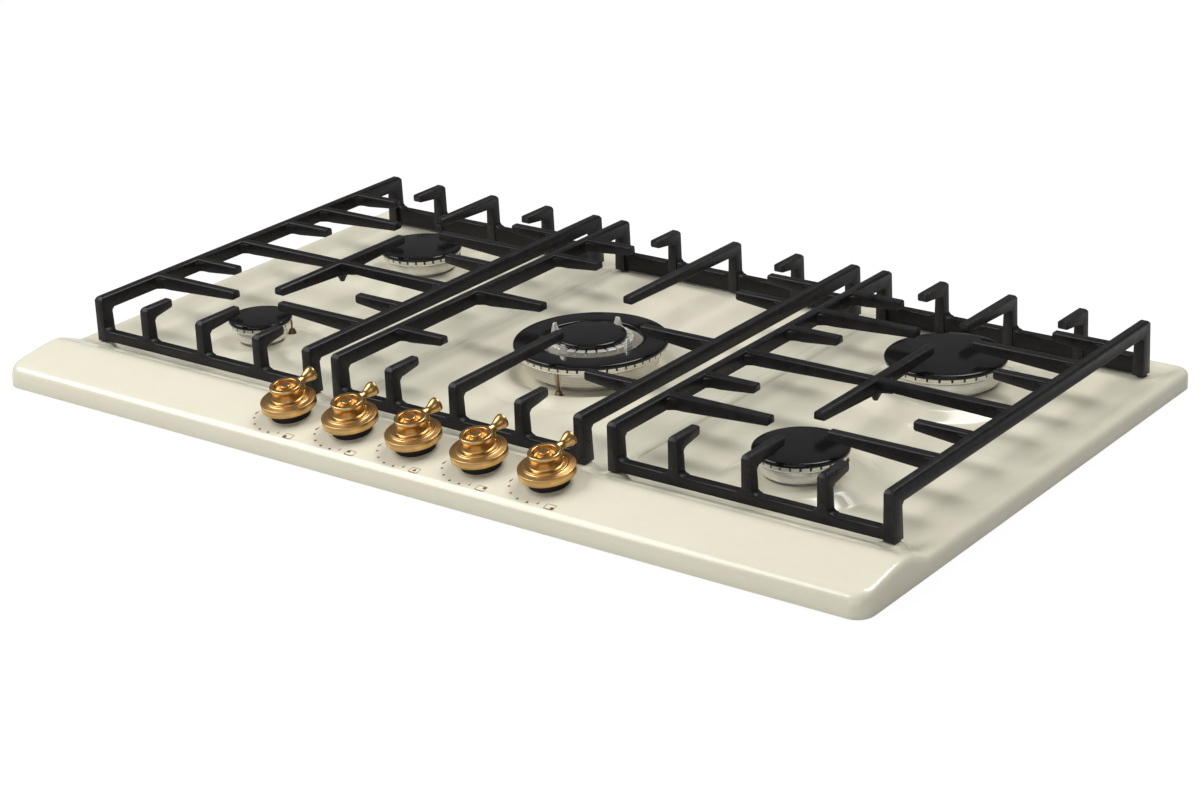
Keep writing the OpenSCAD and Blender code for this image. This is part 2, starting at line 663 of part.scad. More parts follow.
wok_finger_shares = [-0.1775, 0.2402, 0.3343];
wok_finger_ys = [for (t = wok_finger_shares) t * hob_d]; // short fingers of the middle support
wok_short_reach = 50.5;
wok_long_gap = 51.5;                     // the long ones end this far from the centre line
wok_front_tips = [33.5, 139.5];
wok_rear_tips = [36, 167.5];
wok_hook_step = 66;

module centre_grate() {
    xs = [-middle_bar_x, middle_bar_x];
    color("#262628") difference() {
        union() {
            for (x = xs) side_frame(x);
            rails(xs);
            for (k = [-1, 0, 1]) {
                hook(k * wok_hook_step, grate_front + wok_front_tips[k == 0 ? 1 : 0], false);
                hook(k * wok_hook_step, grate_back - wok_rear_tips[k == 0 ? 1 : 0], true);
            }
            for (x = xs) {
                turn = x < 0 ? 0 : 180;
                for (y = wok_finger_ys) translate([x, y, 0]) rotate([0, 0, turn])
                    finger(wok_short_reach, hook_h, hook_w);
                translate([x, wok_y + hook_w / 2, 0]) rotate([0, 0, turn])
                    finger(middle_bar_x - wok_long_gap, bar_h, hook_w);
            }
        }
        foot_holes(xs);
    }
}

module grate_feet(xs) {
    color("#1c1c1c") for (x = xs) {
        translate([x, foot_front_y, foot_seat_z + seat_gap])
            cylinder(h = leg_low - foot_seat_z - seat_gap, r = foot_r);
        translate([x, foot_back_y, floor_h + seat_gap])
            cylinder(h = rear_rail_low - floor_h - seat_gap, r = foot_r);
        for (p = [[foot_front_y, leg_low], [foot_back_y, rear_rail_low]])
            translate([x, p[0], p[1]]) cylinder(h = foot_pin_h - slide_gap, r = foot_pin_r - slide_gap);
    }
}

module left_grate_feet() grate_feet([-outer_bar_x, -inner_bar_x]);
module centre_grate_feet() grate_feet([-middle_bar_x, middle_bar_x]);
module right_grate_feet() grate_feet([inner_bar_x, outer_bar_x]);

// Burner cups: die-cast, with the injector holder below and two ears for the plug and the sensor.
pipe_sides = [[0, -1], [1, 0], [1, 0], [-1, 0], [0, -1]];
pipe_socket = 4;                         // a pipe enters its holder this far
function rim_of(i) = i == WOK ? wok_z : crown_z;
function shoulder_z(i) = (i == WOK ? wok_dish_z : seat_z) - sheet_t - gasket_t;

module cup(i) {
    r = cup_r(i);
    color("#b5b6b8") translate(at_burner(i)) difference() {
        union() {
            rotate_extrude($fn = 72) polygon([
                [0, holder_low], [holder_r, holder_low], [holder_r, cup_low], [r, cup_low],
                [r, shoulder_z(i) - cast_t], [r + gasket_w, shoulder_z(i) - cast_t / 2],
                [r + gasket_w, shoulder_z(i)], [r, shoulder_z(i)], [r, rim_of(i)],
                [r - cast_t, rim_of(i)], [r - cast_t, cup_low + cast_t], [0, cup_low + cast_t]]);
            for (a = [plug_turns[i], sensor_turns[i]]) rotate([0, 0, a])
                translate([r - cast_t / 2, -ear_w / 2, ear_z - ear_drop(i)])
                    cube([rod_at(i) + ear_out - rod_out - r + cast_t / 2, ear_w, ear_t]);
        }
        translate([0, 0, injector_low]) cylinder(h = cup_low + cast_t - injector_low + over, r = injector_r);
        for (a = [plug_turns[i], sensor_turns[i]]) rotate([0, 0, a])
            translate([rod_at(i), 0, ear_z - ear_drop(i) - over])
                cylinder(h = ear_t + over * 2, r = rod_r + slide_gap);
        translate([0, 0, pipe_z]) rotate([0, 90, atan2(pipe_sides[i][1], pipe_sides[i][0])])
            cylinder(h = holder_r + over, r = pipe_d / 2 + slide_gap);
        translate([0, 0, holder_low - over]) cylinder(h = burner_screw_in + over, r = burner_screw_r);
    }
}
function ear_drop(i) = i == WOK ? seat_z - wok_dish_z - boss_h : 0;

module left_front_cup() cup(0);
module left_rear_cup() cup(1);
module wok_cup() cup(2);
module right_rear_cup() cup(3);
module right_front_cup() cup(4);

module flame_slots(n, r_in, r_out, z) {
    for (k = [0:n - 1]) rotate([0, 0, 360 * k / n])
        translate([r_in, -slot_w / 2, z - slot_h]) cube([r_out - r_in, slot_w, slot_h + over]);
}

// A plain crown: a skirt, a slotted band and the mixing tube in the middle.
flare_h = 1.6;
module crown(i) {
    h = crown_h(i);
    inner = body_r(i) - cast_t;
    color("#c3c1b6") translate(at_burner(i)) translate([0, 0, crown_z]) difference() {
        rotate_extrude($fn = 72) polygon([
            [throat_r, -throat_l], [throat_r + cast_t / 2, -throat_l], [throat_r + cast_t / 2, 0],
            [body_r(i), 0], [body_r(i), h - band_h - flare_h], [band_r(i), h - band_h],
            [band_r(i), h], [inner, h], [inner, cast_t], [throat_r, cast_t]]);
        flame_slots(slot_counts[i], inner - over, band_r(i) + over, h);
    }
}

module left_front_crown() crown(0);
module left_rear_crown() crown(1);
module right_rear_crown() crown(3);
module right_front_crown() crown(4);

// Caps of enamelled steel with a rounded rim and a ring below that centres them in the crown.
rim_round = 1.2;
spigot_h = 2;
spigot_t = 2;
module cap(i) {
    r = cap_rs[i];
    inner = body_r(i) - cast_t - slot_w;
    color("#17181a") translate(at_burner(i)) translate([0, 0, crown_z + crown_h(i)])
        rotate_extrude($fn = 96) polygon([
            [0, 0], [inner - spigot_t, 0], [inner - spigot_t, -spigot_h], [inner, -spigot_h], [inner, 0],
            [r - rim_round / 2, 0], [r, rim_round / 2], [r, cap_t - 2 * rim_round],
            [r - rim_round / 2, cap_t - rim_round], [r - 2 * rim_round, cap_t - rim_round / 3],
            [r - 4 * rim_round, cap_t], [0, cap_t]]);
}

module left_front_cap() cap(0);
module left_rear_cap() cap(1);
module right_rear_cap() cap(3);
module right_front_cap() cap(4);

// Triple-crown burner: outer crown with a ring cap, and an inner crown with its own cap.
wok_in_r = wok_eye_r + cast_t;           // inner wall of the outer crown
wok_out_r = wok_belly_r - 2 * cast_t;    // its hollow reaches this far
module wok_crown() {
    color("#c3c1b6") translate(at_burner(WOK)) difference() {
        rotate_extrude($fn = 96) polygon([
            [throat_r, wok_z - throat_l], [throat_r + cast_t / 2, wok_z - throat_l],
            [throat_r + cast_t / 2, wok_z], [wok_foot_r, wok_z], [wok_foot_r + cast_t, wok_z + cast_t / 2],
            [wok_belly_r, wok_belly_low], [wok_belly_r + cast_t / 2, wok_skirt_top - cast_t],
            [band_r(WOK), wok_skirt_top], [band_r(WOK), wok_band_top], [wok_out_r, wok_band_top],
            [wok_out_r, wok_belly_low + cast_t], [wok_in_r, wok_belly_low + cast_t],
            [wok_in_r, wok_band_top], [wok_in_r - cast_t, wok_band_top],
            [wok_in_r - cast_t, wok_belly_low], [throat_r + 2 * cast_t, wok_belly_low],
            [throat_r + 2 * cast_t, wok_inner_low], [throat_r, wok_inner_low]]);
        flame_slots(slot_counts[WOK], wok_out_r - over, band_r(WOK) + over, wok_band_top);
        for (a = [plug_turns[WOK], sensor_turns[WOK]]) rotate([0, 0, a]) translate([wok_rod_out, 0, wok_z])
            cylinder(h = wok_skirt_top - wok_z - slot_w / 2, r = wok_groove_r);
    }
}

module wok_ring_cap() {
    r0 = wok_eye_r;
    r1 = cap_rs[WOK];
    spigot = wok_out_r - slot_w / 2;
    color("#17181a") translate(at_burner(WOK)) translate([0, 0, wok_band_top])
        rotate_extrude($fn = 120) polygon([
            [r0, 0], [spigot - spigot_t, 0], [spigot - spigot_t, -spigot_h], [spigot, -spigot_h],
            [spigot, 0], [r1 - rim_round / 2, 0], [r1, rim_round / 2], [r1, cap_t - 2 * rim_round],
            [r1 - rim_round / 2, cap_t - rim_round], [r1 - 2 * rim_round, cap_t - rim_round / 3],
            [r1 - 4 * rim_round, cap_t], [r0 + 2 * rim_round, cap_t],
            [r0 + rim_round / 2, cap_t - rim_round / 2], [r0, cap_t - 2 * rim_round]]);
}

module wok_inner_crown() {
    inner = wok_inner_r - 2 * cast_t;
    color("#c9c9c6") translate(at_burner(WOK)) difference() {
        union() {
            rotate_extrude($fn = 72) polygon([
                [throat_r, wok_inner_low], [wok_inner_r - 3 * cast_t, wok_inner_low],
                [wok_inner_r, wok_inner_top - 2 * band_h], [wok_inner_r, wok_inner_top],
                [inner, wok_inner_top], [inner, wok_inner_low + 2 * cast_t],
                [throat_r, wok_inner_low + 2 * cast_t]]);
            for (a = wok_lug_turns) rotate([0, 0, a])
                translate([wok_inner_r + lug_out, 0, wok_inner_top - 2 * band_h]) lug();
        }
        rotate([0, 0, 180 / wok_inner_slots])
            flame_slots(wok_inner_slots, inner - over, wok_inner_r + over, wok_inner_top);
    }
}

// An upright lug: a wedge that leans in and narrows to its tip.
module lug() {
    rise = 2 * band_h + lug_h;
    intersection() {
        translate([-lug_t, 0, 0]) rotate([90, 0, 90]) linear_extrude(2 * lug_t)
            polygon([[-lug_w / 2, 0], [lug_w / 2, 0], [lug_w / 6, rise], [-lug_w / 6, rise]]);
        translate([0, lug_w, 0]) rotate([90, 0, 0]) linear_extrude(2 * lug_w)
            polygon([[-lug_t / 2, 0], [lug_t / 2 + slot_w, 0], [lug_t / 4, rise - slot_w],
                     [-lug_t / 4, rise], [-lug_t / 2, rise - lug_h]]);
    }
}

module wok_inner_cap() {
    r = wok_inner_r - wok_inner_step;
    inner = wok_inner_r - 2 * cast_t - slot_w;
    color("#17181a") translate(at_burner(WOK)) translate([0, 0, wok_inner_top])
        rotate_extrude($fn = 96) polygon([
            [0, 0], [inner - spigot_t, 0], [inner - spigot_t, -spigot_h], [inner, -spigot_h], [inner, 0],
            [r - rim_round / 2, 0], [r, rim_round / 2], [r, cap_t - 2 * rim_round],
            [r - rim_round / 2, cap_t - rim_round], [r - 2 * rim_round, cap_t - rim_round / 3],
            [r - 4 * rim_round, cap_t], [0, cap_t]]);
}

module burner_gaskets() {
    color("#2b2b2b") for (i = burners) translate(at_burner(i)) translate([0, 0, shoulder_z(i)])
        difference() {
            cylinder(h = gasket_t, r = cup_r(i) + gasket_w, $fn = 72);
            translate([0, 0, -over]) cylinder(h = gasket_t + over * 2, r = cup_r(i) + slide_gap, $fn = 72);
        }
}

// One screw from below holds each cup on its spacer.
burner_screw_r = 2.5;
burner_screw_in = 6;
burner_head_r = 4.6;
burner_head_h = 2;
module burner_screws() {
    color("#9b9ea3") for (i = burners) translate(at_burner(i)) translate([0, 0, box_low + dimple_h]) {
        translate([0, 0, -burner_head_h]) cylinder(h = burner_head_h, r = burner_head_r);
        cylinder(h = box_t + burner_screw_in - slide_gap, r = burner_screw_r - slide_gap);
    }
}

injector_l = 18;
injector_bore_r = 0.8;
injector_head_h = 6;
module injectors() {
    color("#c9a24a") for (i = burners) translate(at_burner(i)) translate([0, 0, injector_low])
        difference() {
            union() {
                cylinder(h = injector_l, r = injector_r - slide_gap);
                translate([0, 0, injector_l]) cylinder(h = injector_head_h, r = injector_r, $fn = 6);
            }
            translate([0, 0, -over])
                cylinder(h = injector_l + injector_head_h + over * 2, r = injector_bore_r);
            translate([0, 0, pipe_z - injector_low])
                rotate([0, 90, atan2(pipe_sides[i][1], pipe_sides[i][0])])
                cylinder(h = injector_r + over, r = injector_r / 2);
        }
}

// Spark plugs and flame sensors stand in the ears of the cups and reach the crowns.
rod_r = 2.4;
rod_collar_r = 3.8;
rod_collar_h = 3;
rod_tail = 10;
function rod_base(i) = ear_z + ear_t - ear_drop(i);
function rod_top(i) = i == WOK ? wok_skirt_top - cast_t : crown_z + skirt_h - flare_h;
tip_rod_r = 0.9;
module plug_rod(i, body_h) {
    translate([0, 0, rod_base(i)]) cylinder(h = rod_collar_h, r = rod_collar_r);
    translate([0, 0, rod_base(i) - rod_tail]) cylinder(h = body_h - rod_base(i) + rod_tail, r = rod_r);
    translate([0, 0, body_h]) cylinder(h = rod_top(i) - body_h, r = tip_rod_r);
}

module spark_plugs() {
    color("#e9e6dd") for (i = burners) translate(at_burner(i)) rotate([0, 0, plug_turns[i]])
        translate([rod_at(i), 0, 0]) plug_rod(i, rod_top(i) - tip_rod_h);
}
tip_rod_h = 4;

sensor_cone_h = 3.5;
module flame_sensors() {
    color("#b07f3a") for (i = burners) translate(at_burner(i)) rotate([0, 0, sensor_turns[i]])
        translate([rod_at(i), 0, 0]) {
            skin = i == WOK ? wok_dish_z : seat_z;
            plug_rod(i, skin + sensor_cone_h);
            translate([0, 0, skin + seat_gap])
                cylinder(h = sensor_cone_h, r1 = rod_collar_r, r2 = rod_r);
        }
}

// Knobs: a stepped brass disc, a drum with a hollow top and a flared lever.
flange_z = push_travel + seat_gap;
flange_h = 6.5;
well_r = 19.6;                           // hollow under the flange that passes over the seal
well_h = 6.5;
step_r = 18;
step_z = flange_z + flange_h + 3.4;
dish_r = 10.5;
dish_z = knob_h - 3.2;
pip_r = 4;
hub_top = 20;
lever_z = 21.4;
lever_root = 11.8;
neck_r = 2.7;
bell_r = 5;
module knob(i) {
    r = knob_d / 2;
    color("#b98a45") at_knob(i) difference() {
        union() {
            rotate_extrude($fn = 96) polygon(concat(
                [[spindle_d / 2, flange_z + well_h], [well_r, flange_z + well_h], [well_r, flange_z],
                 [r - 1.5 * soft, flange_z], [r - soft / 3, flange_z + soft],
                 [r, flange_z + flange_h / 2], [r - soft / 3, flange_z + flange_h - soft],
                 [r - soft, flange_z + flange_h]],
                [for (a = [15:15:90]) [step_r + (r - soft - step_r) * (1 - sin(a)),
                    flange_z + flange_h + (step_z - soft - flange_z - flange_h) * (1 - cos(a))]],
                [[step_r, step_z - soft / 2], [step_r - soft, step_z],
                 [drum_d / 2 + soft, step_z], [drum_d / 2, step_z + soft],
                 [drum_d / 2 - soft / 4, knob_h - soft], [drum_d / 2 - soft, knob_h],
                 [dish_r + soft / 2, knob_h], [dish_r, dish_z + soft / 2], [dish_r - soft / 2, dish_z],
                 [pip_r + soft / 2, dish_z], [pip_r, knob_h - soft], [pip_r - soft / 2, knob_h],
                 [0, knob_h], [0, hub_top], [spindle_d / 2, hub_top]]));
            rotate([0, 0, lever_turn]) translate([0, lever_root, lever_z]) rotate([-90 + lever_rise, 0, 0])
                lever();
            rotate([0, 0, lever_turn]) translate([0, rib_y, step_z - soft]) cylinder(h = rib_h, r = rib_r);
        }
    }
}
soft = 1.4;                              // rounding of the turned edges
lever_rise = 6;
rib_r = 3.4;                             // rib that carries the lever from the step below it
rib_y = 14.2;
rib_h = 8.4;
waist_share = 0.4;                       // shares of the lever's length: narrowest place,
swell_share = 0.45;                      // swelling of its root and of its end,
bell_share = 0.22;                       // and the rounded end

module lever() {
    l = lever_reach - lever_root;
    rotate_extrude($fn = 48) polygon(concat(
        [[0, 0], [neck_r + soft, 0]],
        [for (t = [0.2:0.1:0.7]) [neck_r + (bell_r - neck_r) * ease((t - waist_share) / swell_share)
            + soft * (1 - ease(t / swell_share)), l * t]],
        [for (a = [0:18:72]) [bell_r * cos(a), l * (1 - bell_share * (1 - sin(a)))]],
        [[0, l]]));
}

module left_front_knob() knob(0);
module left_rear_knob() knob(1);
module wok_knob() knob(2);
module right_rear_knob() knob(3);
module right_front_knob() knob(4);

// Spindle with a flat, held in the knob and turning in the tap.
spindle_low = -24;
flat_in = 0.8;
module spindle(i) {
    color("#c9c9c6") at_knob(i) difference() {
        translate([0, 0, spindle_low]) cylinder(h = hub_top - spindle_low, r = spindle_d / 2);
        translate([spindle_d / 2 - flat_in, -spindle_d, well_h + flange_z])
            cube([spindle_d, 2 * spindle_d, hub_top]);
    }
}

module left_front_spindle() spindle(0);
module left_rear_spindle() spindle(1);
module wok_spindle() spindle(2);
module right_rear_spindle() spindle(3);
module right_front_spindle() spindle(4);

// Plunger: pushed down by the spindle without turning, it opens the safety valve.
plunger_r = 2.2;
plunger_low = -41;
collar_h = 2.7;
module plunger(i) {
    top = spindle_low - slide_gap;
    color("#8d9095") at_knob(i) {
        translate([0, 0, top - collar_h]) cylinder(h = collar_h, r = spindle_d / 2);
        translate([0, 0, plunger_low]) cylinder(h = top - collar_h - plunger_low, r = plunger_r);
    }
}

module left_front_plunger() plunger(0);
module left_rear_plunger() plunger(1);
module wok_plunger() plunger(2);
module right_rear_plunger() plunger(3);
module right_front_plunger() plunger(4);

// Black seal that stands on the panel under each knob, its neck through the sheet.
seal_r = 18;
seal_h = 5;
seal_neck_r = seal_hole_r - slide_gap;
seal_bore_r = spindle_d / 2 + 0.4 * sheet_t;
module knob_seals() {
    color("#161616") for (i = burners) at_knob(i) rotate_extrude($fn = 64) polygon([
        [seal_bore_r, -sheet_t - over / 2], [seal_neck_r, -sheet_t - over / 2], [seal_neck_r, 0],
        [seal_r, 0], [seal_r - soft / 2, seal_h - soft], [seal_r - 2 * soft, seal_h],
        [seal_bore_r, seal_h]]);
}

// Gas taps: body on the knob axis, magnet housing below, saddle round the gas rail and side outlet.
tap_r = 8.5;
tap_top = -6;
tap_low = -33;
magnet_r = 6;
magnet_low = -49;
big_bore_low = -31.5;
small_bore_low = -46.5;
rail_back = 27;                          // the rail lies this far behind the knob axes
rail_y = knob_y + rail_back;
rail_z = -9;
saddle_w = 15;
saddle_grow = 4;
lug_back = 10;
outlet_x = 15;
outlet_r = 6;
outlet_arm = 9;
outlet_top = -2;
outlet_low = -14;
outlet_y = knob_y + (knob_z - outlet_low) * panel_rise;
tap_screw_r = 2;
tap_screw_y = rail_y + rail_tube_d / 2 + saddle_grow + lug_back / 2;

module gas_taps() {
    color("#a9abad") for (i = burners) difference() {
        union() {
            at_knob(i) {
                translate([0, 0, tap_low]) cylinder(h = tap_top - tap_low, r = tap_r);
                translate([0, 0, magnet_low]) cylinder(h = tap_low - magnet_low, r = magnet_r);
            }
            translate([knob_x(i) - saddle_w / 2, outlet_y, rail_z - rail_tube_d / 2 - saddle_grow])
                cube([saddle_w, tap_screw_y + lug_back / 2 - outlet_y, rail_tube_d + 2 * saddle_grow]);
            translate([knob_x(i), outlet_y - outlet_arm / 2, outlet_low + sheet_t])
                cube([outlet_x, outlet_arm, outlet_top - outlet_low - 2 * sheet_t]);
            translate([knob_x(i) + outlet_x, outlet_y, outlet_low])
                cylinder(h = outlet_top - outlet_low, r = outlet_r);
        }
        at_knob(i) {
            translate([0, 0, big_bore_low])
                cylinder(h = tap_top - big_bore_low + over, r = spindle_d / 2 + slide_gap);
            translate([0, 0, small_bore_low])
                cylinder(h = big_bore_low - small_bore_low + over, r = plunger_r + slide_gap);
        }
        translate([knob_x(i) - saddle_w, rail_y, rail_z]) rotate([0, 90, 0])
            cylinder(h = 2 * saddle_w, r = rail_tube_d / 2 + slide_gap);
        translate([knob_x(i) + outlet_x, outlet_y, outlet_low - over])
            cylinder(h = pipe_socket + over, r = pipe_d / 2 + slide_gap);
        translate([knob_x(i), tap_screw_y, rail_z - rail_tube_d])
            cylinder(h = 2 * rail_tube_d, r = tap_screw_r + slide_gap);
    }
}

module tap_screws() {
    l = rail_tube_d + 2 * saddle_grow;
    top = rail_z + l / 2;
    color("#9b9ea3") for (i = burners) translate([knob_x(i), tap_screw_y, top]) {
        translate([0, 0, -l]) cylinder(h = l, r = tap_screw_r);
        cylinder(h = tap_screw_r, r = 2 * tap_screw_r - slide_gap * 2);
    }
}

// A tube along right-angled runs: straight pieces and quarter bends of one radius.
function unit(v) = v / norm(v);
module straight(a, b, r) {
    d = b - a;
    translate(a) rotate([0, acos(d[2] / norm(d)), atan2(d[1], d[0])]) cylinder(h = norm(d), r = r);
}
module quarter(p, d_in, d_out, bend_r, r) {
    u = -d_out;
    w = cross(u, d_in);
    c = p - d_in * bend_r + d_out * bend_r;
    multmatrix([[u[0], d_in[0], w[0], c[0]], [u[1], d_in[1], w[1], c[1]], [u[2], d_in[2], w[2], c[2]]])
        rotate_extrude(angle = 90, $fn = 48) translate([bend_r, 0]) circle(r = r);
}
module bent_tube(pts, r, bend_r) {
    n = len(pts);
    for (k = [0:n - 2]) {
        d = unit(pts[k + 1] - pts[k]);
        straight(pts[k] + d * (k > 0 ? bend_r : 0), pts[k + 1] - d * (k < n - 2 ? bend_r : 0), r);
    }
    for (k = [1:n - 2])
        quarter(pts[k], unit(pts[k] - pts[k - 1]), unit(pts[k + 1] - pts[k]), bend_r, r);
}

// Gas rail from the taps to the inlet in the raised corner.
inlet_in_x = 80;
inlet_in_y = 59;
inlet_x = hob_w / 2 - inlet_in_x;
inlet_y = hob_d / 2 - inlet_in_y;
inlet_r = 13;
rail_bend = 16;
rail_start = knob_x(0) - 3 * saddle_w;
rail_pts = [[rail_start, rail_y, rail_z], [inlet_x, rail_y, rail_z],
            [inlet_x, inlet_y - inlet_r + pipe_socket, rail_z]];
module gas_rail() {
    color("#b3b5b8") bent_tube(rail_pts, rail_tube_d / 2, rail_bend);
}

inlet_top = 1;
inlet_thread = 18;
inlet_relief = 2;                        // undercut between the thread and the plate
inlet_relief_in = 1;
inlet_bore_r = 6;
module gas_inlet() {
    base = corner_z + box_t;
    low = corner_z - inlet_relief - inlet_thread;
    color("#c9a24a") translate([inlet_x, inlet_y, 0]) difference() {
        union() {
            translate([0, 0, base]) cylinder(h = inlet_top - base, r = inlet_r);
            translate([0, 0, low]) cylinder(h = inlet_thread, r = inlet_d / 2);
            translate([0, 0, low + inlet_bore_r])
                cylinder(h = base - low, r = inlet_d / 2 - inlet_relief_in);
        }
        translate([0, 0, low - over]) cylinder(h = rail_z - low + over, r = inlet_bore_r);
        translate([0, -inlet_r - over, rail_z]) rotate([-90, 0, 0])
            cylinder(h = pipe_socket + over, r = rail_tube_d / 2 + slide_gap);
    }
}

bracket_shares = [-0.192, 0.037, 0.29];
bracket_xs = [for (t = bracket_shares) t * hob_w];
bracket_r = 6;
bracket_pin_r = 3;
module rail_brackets() {
    color("#9b9ea3") for (x = bracket_xs) translate([x, rail_y, box_low]) difference() {
        union() {
            translate([0, 0, box_t]) cylinder(h = rail_z - box_low - box_t, r = bracket_r);
            cylinder(h = box_t, r = bracket_pin_r);
        }
        translate([-bracket_r * 2, 0, rail_z - box_low]) rotate([0, 90, 0])
            cylinder(h = bracket_r * 4, r = rail_tube_d / 2 + slide_gap);
    }
}

// Supply pipes: each leaves its tap downwards, runs back, sideways and then to its burner.
lane_steps = [40, 55, 70, 55, 40];       // a pipe turns sideways this far behind the rail
lane_ys = [for (s = lane_steps) rail_y + s];
lane_in = 62;                            // the pipes of the rear burners pass inside the front ones
wok_lane_x = 45;
lane_xs = [-side_x, -side_x + lane_in, wok_lane_x, side_x - lane_in, side_x];
pipe_bend = 8;
function pipe_start(i) = [knob_x(i) + outlet_x, outlet_y, outlet_low + pipe_socket];
function holder_point(i) = let (s = pipe_sides[i], b = burner_xy[i], r = holder_r - pipe_socket)
    [b[0] + s[0] * r, b[1] + s[1] * r, pipe_z];
function pipe_pts(i) = let (a = pipe_start(i), e = holder_point(i), head = [a, [a[0], a[1], pipe_z],
    [a[0], lane_ys[i], pipe_z], [lane_xs[i], lane_ys[i], pipe_z]])
    lane_xs[i] == burner_xy[i][0] ? concat(head, [e]) : concat(head, [[lane_xs[i], e[1], pipe_z], e]);
module supply_pipes() {
    color("#c8cacc") for (i = burners) bent_tube(pipe_pts(i), pipe_d / 2, pipe_bend);
}

nut_r = 7;
nut_l = 9;
module pipe_nuts() {
    color("#c9a24a") for (i = burners) {
        translate(at_burner(i)) translate([0, 0, pipe_z])
            rotate([0, 90, atan2(pipe_sides[i][1], pipe_sides[i][0])])
            translate([0, 0, holder_r]) ring_nut();
        translate([knob_x(i) + outlet_x, outlet_y, outlet_low]) mirror([0, 0, 1]) short_nut();
    }
}
module ring_nut() difference() {
    cylinder(h = nut_l, r = nut_r, $fn = 6);
    translate([0, 0, -over]) cylinder(h = nut_l + over * 2, r = pipe_d / 2 + slide_gap);
}
short_nut_l = 3.5;
module short_nut() difference() {
    cylinder(h = short_nut_l, r = outlet_r, $fn = 6);
    translate([0, 0, -over]) cylinder(h = short_nut_l + over * 2, r = pipe_d / 2 + slide_gap);
}

// Electrical pieces: the spark generator, the terminal block and the cable gland in the raised corner.
module_size = [74, 46, 24];
module_in = [68, 89];                    // the module stands this far from the edges of the top
module_at = [module_in[0] - hob_w / 2, hob_d / 2 - module_in[1]];
module ignition_module() {
    color("#2c2c2e") translate([module_at[0], module_at[1], box_low + box_t]) {
        cube(module_size);
        for (x = [-ear_w, module_size[0]]) translate([x, module_size[1] / 2 - ear_w, 0])
            cube([ear_w, 2 * ear_w, ear_t]);
        for (k = [0:4]) translate([ear_w + k * 1.5 * ear_w, module_size[1] / 3, module_size[2]])
            cylinder(h = 2 * ear_t, r = ear_t);
    }
}

block_size = [34, 24, 16];
block_in = [168, 65];
block_at = [hob_w / 2 - block_in[0], hob_d / 2 - block_in[1]];
module terminal_block() {
    pole = block_size[0] / 3;
    color("#d9d7cf") translate([block_at[0], block_at[1], box_low + box_t]) difference() {
        cube(block_size);
        for (k = [0:2]) {
            translate([(k + 0.5) * pole, -over, block_size[2] / 2]) rotate([-90, 0, 0])
                cylinder(h = block_size[1] + over * 2, r = injector_r / 2);
            translate([(k + 0.5) * pole, block_size[1] / 2, block_size[2] / 2])
                cylinder(h = block_size[2], r = injector_r / 2);
        }
    }
}

gland_in = 14;                           // the gland clears the nut on the gas inlet
gland_y = corner_y + gland_in;
gland_z = corner_z - 11;
gland_neck_r = 6;
gland_r = 9;
gland_bore_r = 3.6;
gland_l = 9;
module cable_gland() {
    wall = corner_x - box_t;
    color("#1f1f20") translate([wall, gland_y, gland_z]) rotate([0, 90, 0]) difference() {
        union() {
            translate([0, 0, -gland_l / 2]) cylinder(h = gland_l / 2, r = gland_r);
            translate([0, 0, 0]) cylinder(h = box_t, r = gland_neck_r);
            translate([0, 0, box_t]) cylinder(h = gland_l, r1 = gland_r, r2 = gland_neck_r);
        }
        translate([0, 0, -gland_l]) cylinder(h = gland_l * 3, r = gland_bore_r);
    }
}

// Clamps that pull the cooktop down on the worktop from below.
clamp_shares = [-0.337, 0, 0.337];
clamp_places = [for (t = clamp_shares) for (s = [-1, 1]) [t * hob_w, s]];
clamp_w = 18;
clamp_t = 2;
clamp_top = -10;
clamp_foot_z = -40;
clamp_reach = 20;
clamp_screw_r = 2;
clamp_screw_z = -20;
clamp_tooth = 3;
module worktop_clamps() {
    color("#b9bcc0") for (p = clamp_places) translate([p[0], p[1] * box_d / 2, 0])
        rotate([0, 0, p[1] > 0 ? 0 : 180]) difference() {
            translate([-clamp_w / 2, 0, 0]) rotate([90, 0, 90]) linear_extrude(clamp_w)
                polygon([[0, clamp_top], [clamp_t, clamp_top], [clamp_t, clamp_foot_z + clamp_t],
                         [clamp_reach - clamp_t, clamp_foot_z + clamp_t],
                         [clamp_reach - clamp_t, clamp_foot_z + clamp_t + clamp_tooth],
                         [clamp_reach, clamp_foot_z + clamp_t + clamp_tooth],
                         [clamp_reach, clamp_foot_z], [0, clamp_foot_z]]);
            translate([0, -over, clamp_screw_z]) rotate([-90, 0, 0])
                cylinder(h = clamp_t + over * 2, r = clamp_screw_r + screw_gap);
        }
}

clamp_head_r = 4;
clamp_head_h = 2.5;
clamp_shank = 8;
module clamp_screws() {
    color("#9b9ea3") for (p = clamp_places) translate([p[0], p[1] * box_d / 2, clamp_screw_z])
        rotate([0, 0, p[1] > 0 ? 0 : 180]) rotate([-90, 0, 0]) {
            translate([0, 0, clamp_t]) cylinder(h = clamp_head_h, r = clamp_head_r);
            translate([0, 0, clamp_t - clamp_shank]) cylinder(h = clamp_shank, r = clamp_screw_r);
        }
}

box_head_r = 3.4;
box_head_h = 2;
module box_screws() {
    color("#9b9ea3") for (p = fold_screws) translate([p[0], p[1], box_flange_z]) {
        translate([0, 0, -box_head_h]) cylinder(h = box_head_h, r = box_head_r);
        cylinder(h = box_screw_l - box_head_h, r = box_screw_r - slide_gap);
    }
}

